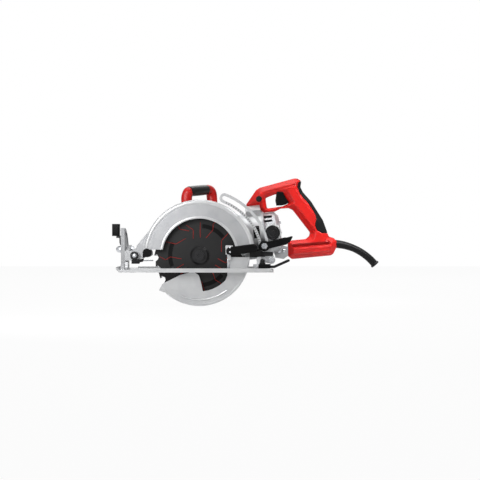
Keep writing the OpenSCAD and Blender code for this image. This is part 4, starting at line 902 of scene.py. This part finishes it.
# Section of the opening: x, and how far outside the housing, in mm
LOUVRE_SECTION = list(zip((*LOUVRE_X, *LOUVRE_X[::-1]), (0.35, 0.35, -1, -1)))
SLATS = 5
SLAT = ((-6.3, -0.9, -0.5), (6.3, 0.9, 0.5))
louvre_sweep = LOUVRE_ANGLES[1] - LOUVRE_ANGLES[0]
for side, label in ((-1, "near"), (1, "far")):
    sections = []
    for k in range(LOUVRE_STEPS + 1):
        angle = LOUVRE_ANGLES[0] + louvre_sweep * k / LOUVRE_STEPS
        sections.append([on_motor(x, angle, motor_r + out, side) for x, out in LOUVRE_SECTION])
    # The black band is painted shade that stands for the dark inside of the opening
    put("louvre_" + label, lofted("louvre", sections), black_nylon, "saw")
    slats = []
    for k in range(SLATS):
        angle = LOUVRE_ANGLES[0] + louvre_sweep * (k + 0.5) / SLATS
        spot = on_motor(sum(LOUVRE_X) / 2, angle, motor_r, side)
        slats.append(Matrix.Translation(spot) @ motor_axis.to_track_quat("X", "Z").to_matrix().to_4x4()
                     @ Matrix.Rotation(math.radians(-side * angle), 4, "X"))
    repeated("louvre_slats_" + label, box_mesh("slat", *SLAT), slats, dry_carbon, "saw")

# Strain relief: a thick smooth boot that bends down to a rolled lip

BOOT_BEND = (272.9, -93.3, 116.7)   # centre in mm from the arbor, and radius
BOOT_ANGLES = (89, 40.5)            # from the handle to the lip, in degrees
BOOT_STEPS = 33
BOOT_GIRTH = {40: 7.8, 55: 7.5, 66: 7.3, 85: 8.6, 90: 8.9}     # radius by angle
LIP_GIRTH = ((0.6, 8.9), (1.4, 9.3), (3.6, 9.3), (4.2, 8.8))   # distance beyond the boot, and radius
boot_y = (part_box("cord_boot")[0].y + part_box("cord_boot")[1].y) / 2 / MM
boot_path, boot_halves = [], []
for angle in np.linspace(*BOOT_ANGLES, BOOT_STEPS):
    turn = math.radians(angle)
    boot_path.append(from_arbor(BOOT_BEND[0] + BOOT_BEND[2] * math.cos(turn), boot_y,
                                BOOT_BEND[1] + BOOT_BEND[2] * math.sin(turn)))
    girth = np.interp(angle, list(BOOT_GIRTH), list(BOOT_GIRTH.values()))
    boot_halves.append(Vector((girth, girth)) * MM)
boot_end, boot_heading = boot_path[-1], (boot_path[-1] - boot_path[-2]).normalized()
for ahead, girth in LIP_GIRTH:
    boot_path.append(boot_end + boot_heading * ahead * MM)
    boot_halves.append(Vector((girth, girth)) * MM)
put("cord_boot_skin", swept("cord_boot_skin", boot_path, boot_halves), black_rubber, "saw", ["cord_boot"])

# Black plate on the lower end of the depth link: painted shade for the shadow under the motor

SHADE_PLATE = [(126, -1.7), (147, -1.2), (149, 3), (147.5, 7.4), (128, 7.4)]
link_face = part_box("depth_link")[0].y
PLATE_RISE, PLATE_SINK, PLATE_EDGE = 1.6 * MM, 0.1 * MM, 0.5 * MM
shade_plate = soft_plate("link_wear_plate", [outline_at_arbor(SHADE_PLATE)], link_face - PLATE_RISE,
                        link_face + PLATE_SINK, PLATE_EDGE)
put("link_wear_plate", shade_plate, black_oxide, "depth_link")

# Far side of the gear case: a stepped ring on the cover, and a bolted cap over the front bearing of the worm

COVER_RING = [(13.5, -1), (13.5, 0.7), (14.5, 1.4), (17.5, 1.4), (18.5, 0.4), (19.5, -1)]
cover_face = (arbor.x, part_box("gear_cover")[1].y, arbor.z)
put("gear_cover_ring", turned("gear_cover_ring", COVER_RING, cover_face, -TOWARDS, 64, True),
    cast_magnesium, "saw")
bearing_middle = Vector(armature["pos_m"])
bearing_middle += motor_axis * (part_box("motor_bearings")[0].x - bearing_middle.x) / motor_axis.x
CASE_WALL = 4.4 * MM       # from the bearing to the front of the case
CAP_RISE = 2.2             # mm that the cap stands out from the case
CAP_PLATE = [(0, CAP_RISE), (13.5, CAP_RISE), (15, 1.6), (15.6, 0.6), (15.6, -2), (0, -2)]
CAP_SCREWS = 4
CAP_SCREW_R = 11.4 * MM
CAP_SCREW = [(0, 1.5), (1.4, 1.4), (2.2, 0.8), (2.4, -0.6), (0, -0.6)]
case_front = bearing_middle - motor_axis * CASE_WALL
put("worm_cap", turned("worm_cap", CAP_PLATE, case_front, -motor_axis, 48), satin_aluminium, "saw")
spots = []
for k in range(CAP_SCREWS):
    turn = 2 * math.pi * (k + 0.5) / CAP_SCREWS
    out = Vector((0, math.cos(turn), 0)) + motor_up * math.sin(turn)
    spots.append(Matrix.Translation(case_front - motor_axis * CAP_RISE * MM + out * CAP_SCREW_R))
screw = turned("cap_screw", CAP_SCREW, (0, 0, 0), -motor_axis, 20)
repeated("worm_cap_screws", screw, spots, zinc_steel, "saw")

# Bracket that carries the handle's base: two domed bolts on each side

MOUNT_BOLTS = ((162.4, 8.2), (172.4, 9.2))   # mm from the arbor
BOLT_HEAD = [(0, 2.8), (2.2, 2.5), (3.6, 1.5), (4.2, 0.2), (4.2, -1), (0, -1)]
mount_low, mount_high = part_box("handle_mount")
for label, face, heading in (("near", mount_low.y, TOWARDS), ("far", mount_high.y, -TOWARDS)):
    head = turned("bolt_head", BOLT_HEAD, (0, 0, 0), heading, 24)
    spots = [Matrix.Translation((x * MM, face, arbor.z + z * MM)) for x, z in MOUNT_BOLTS]
    repeated("mount_bolts_" + label, head, spots, zinc_steel, "saw")

# Depth link: graduation marks along the edge of the slot

depth_pivot, link_pivot = (Vector(JOINTS[name]["pos_m"]).xz for name in ("depth", "depth_link_turn"))
clamp_place = Vector(JOINTS["depth_lever_turn"]["pos_m"]).xz
LINK_RATIO = 0.62          # turn of the link for each degree of the saw's swing
DEPTH_MARKS = 22
MARK_SWING = 1.2           # degrees of swing from one mark to the next
MARK_SIDE = 7.6 * MM       # from the middle of the slot to the marks
DEPTH_MARK = ((-0.45, -0.12, -1.9), (0.45, 0.1, 1.9))
SMALL_SWING = 0.1          # degrees, to find which way the slot runs


def slot_place(swing):
    """Where the clamp bolt stands in the link's slot when the saw is swung up by so many degrees."""
    moved = depth_pivot + Matrix.Rotation(math.radians(swing), 2) @ (clamp_place - depth_pivot)
    return link_pivot + Matrix.Rotation(math.radians(swing * LINK_RATIO), 2) @ (moved - link_pivot)


marks = []
for step in range(1, DEPTH_MARKS + 1):
    here, after = slot_place(step * MARK_SWING), slot_place(step * MARK_SWING + SMALL_SWING)
    heading = (after - here).normalized()
    spot = here + Vector((-heading.y, heading.x)) * MARK_SIDE
    marks.append(Matrix.Translation((spot.x, link_face, spot.y))
                 @ Matrix.Rotation(-math.atan2(heading.y, heading.x), 4, "Y"))
repeated("depth_marks", box_mesh("depth_mark", *DEPTH_MARK), marks, black_nylon, "depth_link")

# Front of the tilting frame: acorn nut, pivot washer and dome, stop, bevel lever's arm and fork rod

ACORN = [(0, 12), (2.6, 11.5), (4.9, 9.9), (6.4, 7.4), (7, 4.6), (7, 2), (8.2, 1.6), (8.2, 0), (0, 0)]
NUT_SEAT = 5.4 * MM        # from the bevel lever's rear face to the nut's
nut_place = Vector(JOINTS["bevel_lever_turn"]["pos_m"])
nut_place.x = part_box("bevel_lever")[1].x - NUT_SEAT
put("acorn_nut", turned("acorn_nut", ACORN, nut_place, (-1, 0, 0), 40), zinc_steel, "tilt_frame")
HUB_RING = [(4.4, 0.2), (5, 1), (7.6, 1), (8.4, 0.2), (8.4, -3.5), (4.4, -3.5)]
DOME = [(0, 2.4), (2.4, 2), (4.2, 0.9), (4.4, -1), (0, -1)]
pivot_spot = Vector(JOINTS["depth"]["pos_m"])
pivot_spot.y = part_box("pivot_pin")[0].y
put("pivot_washer", turned("pivot_washer", HUB_RING, pivot_spot, TOWARDS, 40, True), black_oxide,
    "tilt_frame")
put("pivot_dome", turned("pivot_dome", DOME, pivot_spot, TOWARDS, 32), zinc_steel, "tilt_frame")
STOP = [(-136, -16.4), (-120.5, -16.4), (-118.5, -13.2), (-113.5, -12.6), (-110.5, -5.5), (-122, -7),
        (-136, -8.5)]
STOP_FACES = (-18 * MM, -15.6 * MM)
STOP_EDGE = 0.8 * MM
stop = soft_plate("fork_stop", [outline_at_arbor(STOP)], *STOP_FACES, STOP_EDGE)
put("fork_stop", stop, black_rubber, "tilt_frame")
ARM = [(-168.5, 40.5), (-168, 26), (-166.5, 20.5), (-161, 20.5), (-161, 40.5)]
ARM_INSET = 3 * MM         # from each side of the lever's solid
ARM_EDGE = 1.2 * MM
lever_low, lever_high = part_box("bevel_lever")
arm = soft_plate("bevel_lever_arm", [outline_at_arbor(ARM)], lever_low.y + ARM_INSET,
                 lever_high.y - ARM_INSET, ARM_EDGE)
put("bevel_lever_arm", arm, black_oxide, "bevel_lever")
ROD = [(0, 0), (1.5, 0), (1.5, 24), (0.8, 25), (0, 25)]
put("fork_rod", turned("fork_rod", ROD, from_arbor(-121, 24, -10.5), (1, 0, 0), 20), zinc_steel, "tilt_frame")

# Degree marks round the edge of the bevel quadrant

DEGREE_MARKS = 12
DEGREE_STEP, LAST_DEGREE = 5, 53
DEGREE_INSET = 2.4 * MM    # from the quadrant's edge to the middle of the marks
DEGREE_MARK = ((-0.12, -1.7, -0.3), (0.1, 1.7, 0.3))
bevel_axis = Vector(JOINTS["bevel"]["pos_m"])
quadrant_low, quadrant_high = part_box("bevel_quadrant")
mark_r = quadrant_high.z - bevel_axis.z - DEGREE_INSET
bolt_place = Vector(JOINTS["bevel_lever_turn"]["pos_m"]) - bevel_axis
first_mark = math.degrees(math.atan2(bolt_place.z, bolt_place.y))
degree_marks = []
for step in range(DEGREE_MARKS):
    angle = math.radians(first_mark + min(DEGREE_STEP * step, LAST_DEGREE))
    spot = Vector((quadrant_low.x, bevel_axis.y + mark_r * math.cos(angle),
                   bevel_axis.z + mark_r * math.sin(angle)))
    degree_marks.append(Matrix.Translation(spot) @ Matrix.Rotation(angle, 4, "X"))
repeated("degree_marks", box_mesh("degree_mark", *DEGREE_MARK), degree_marks, black_nylon, "foot")
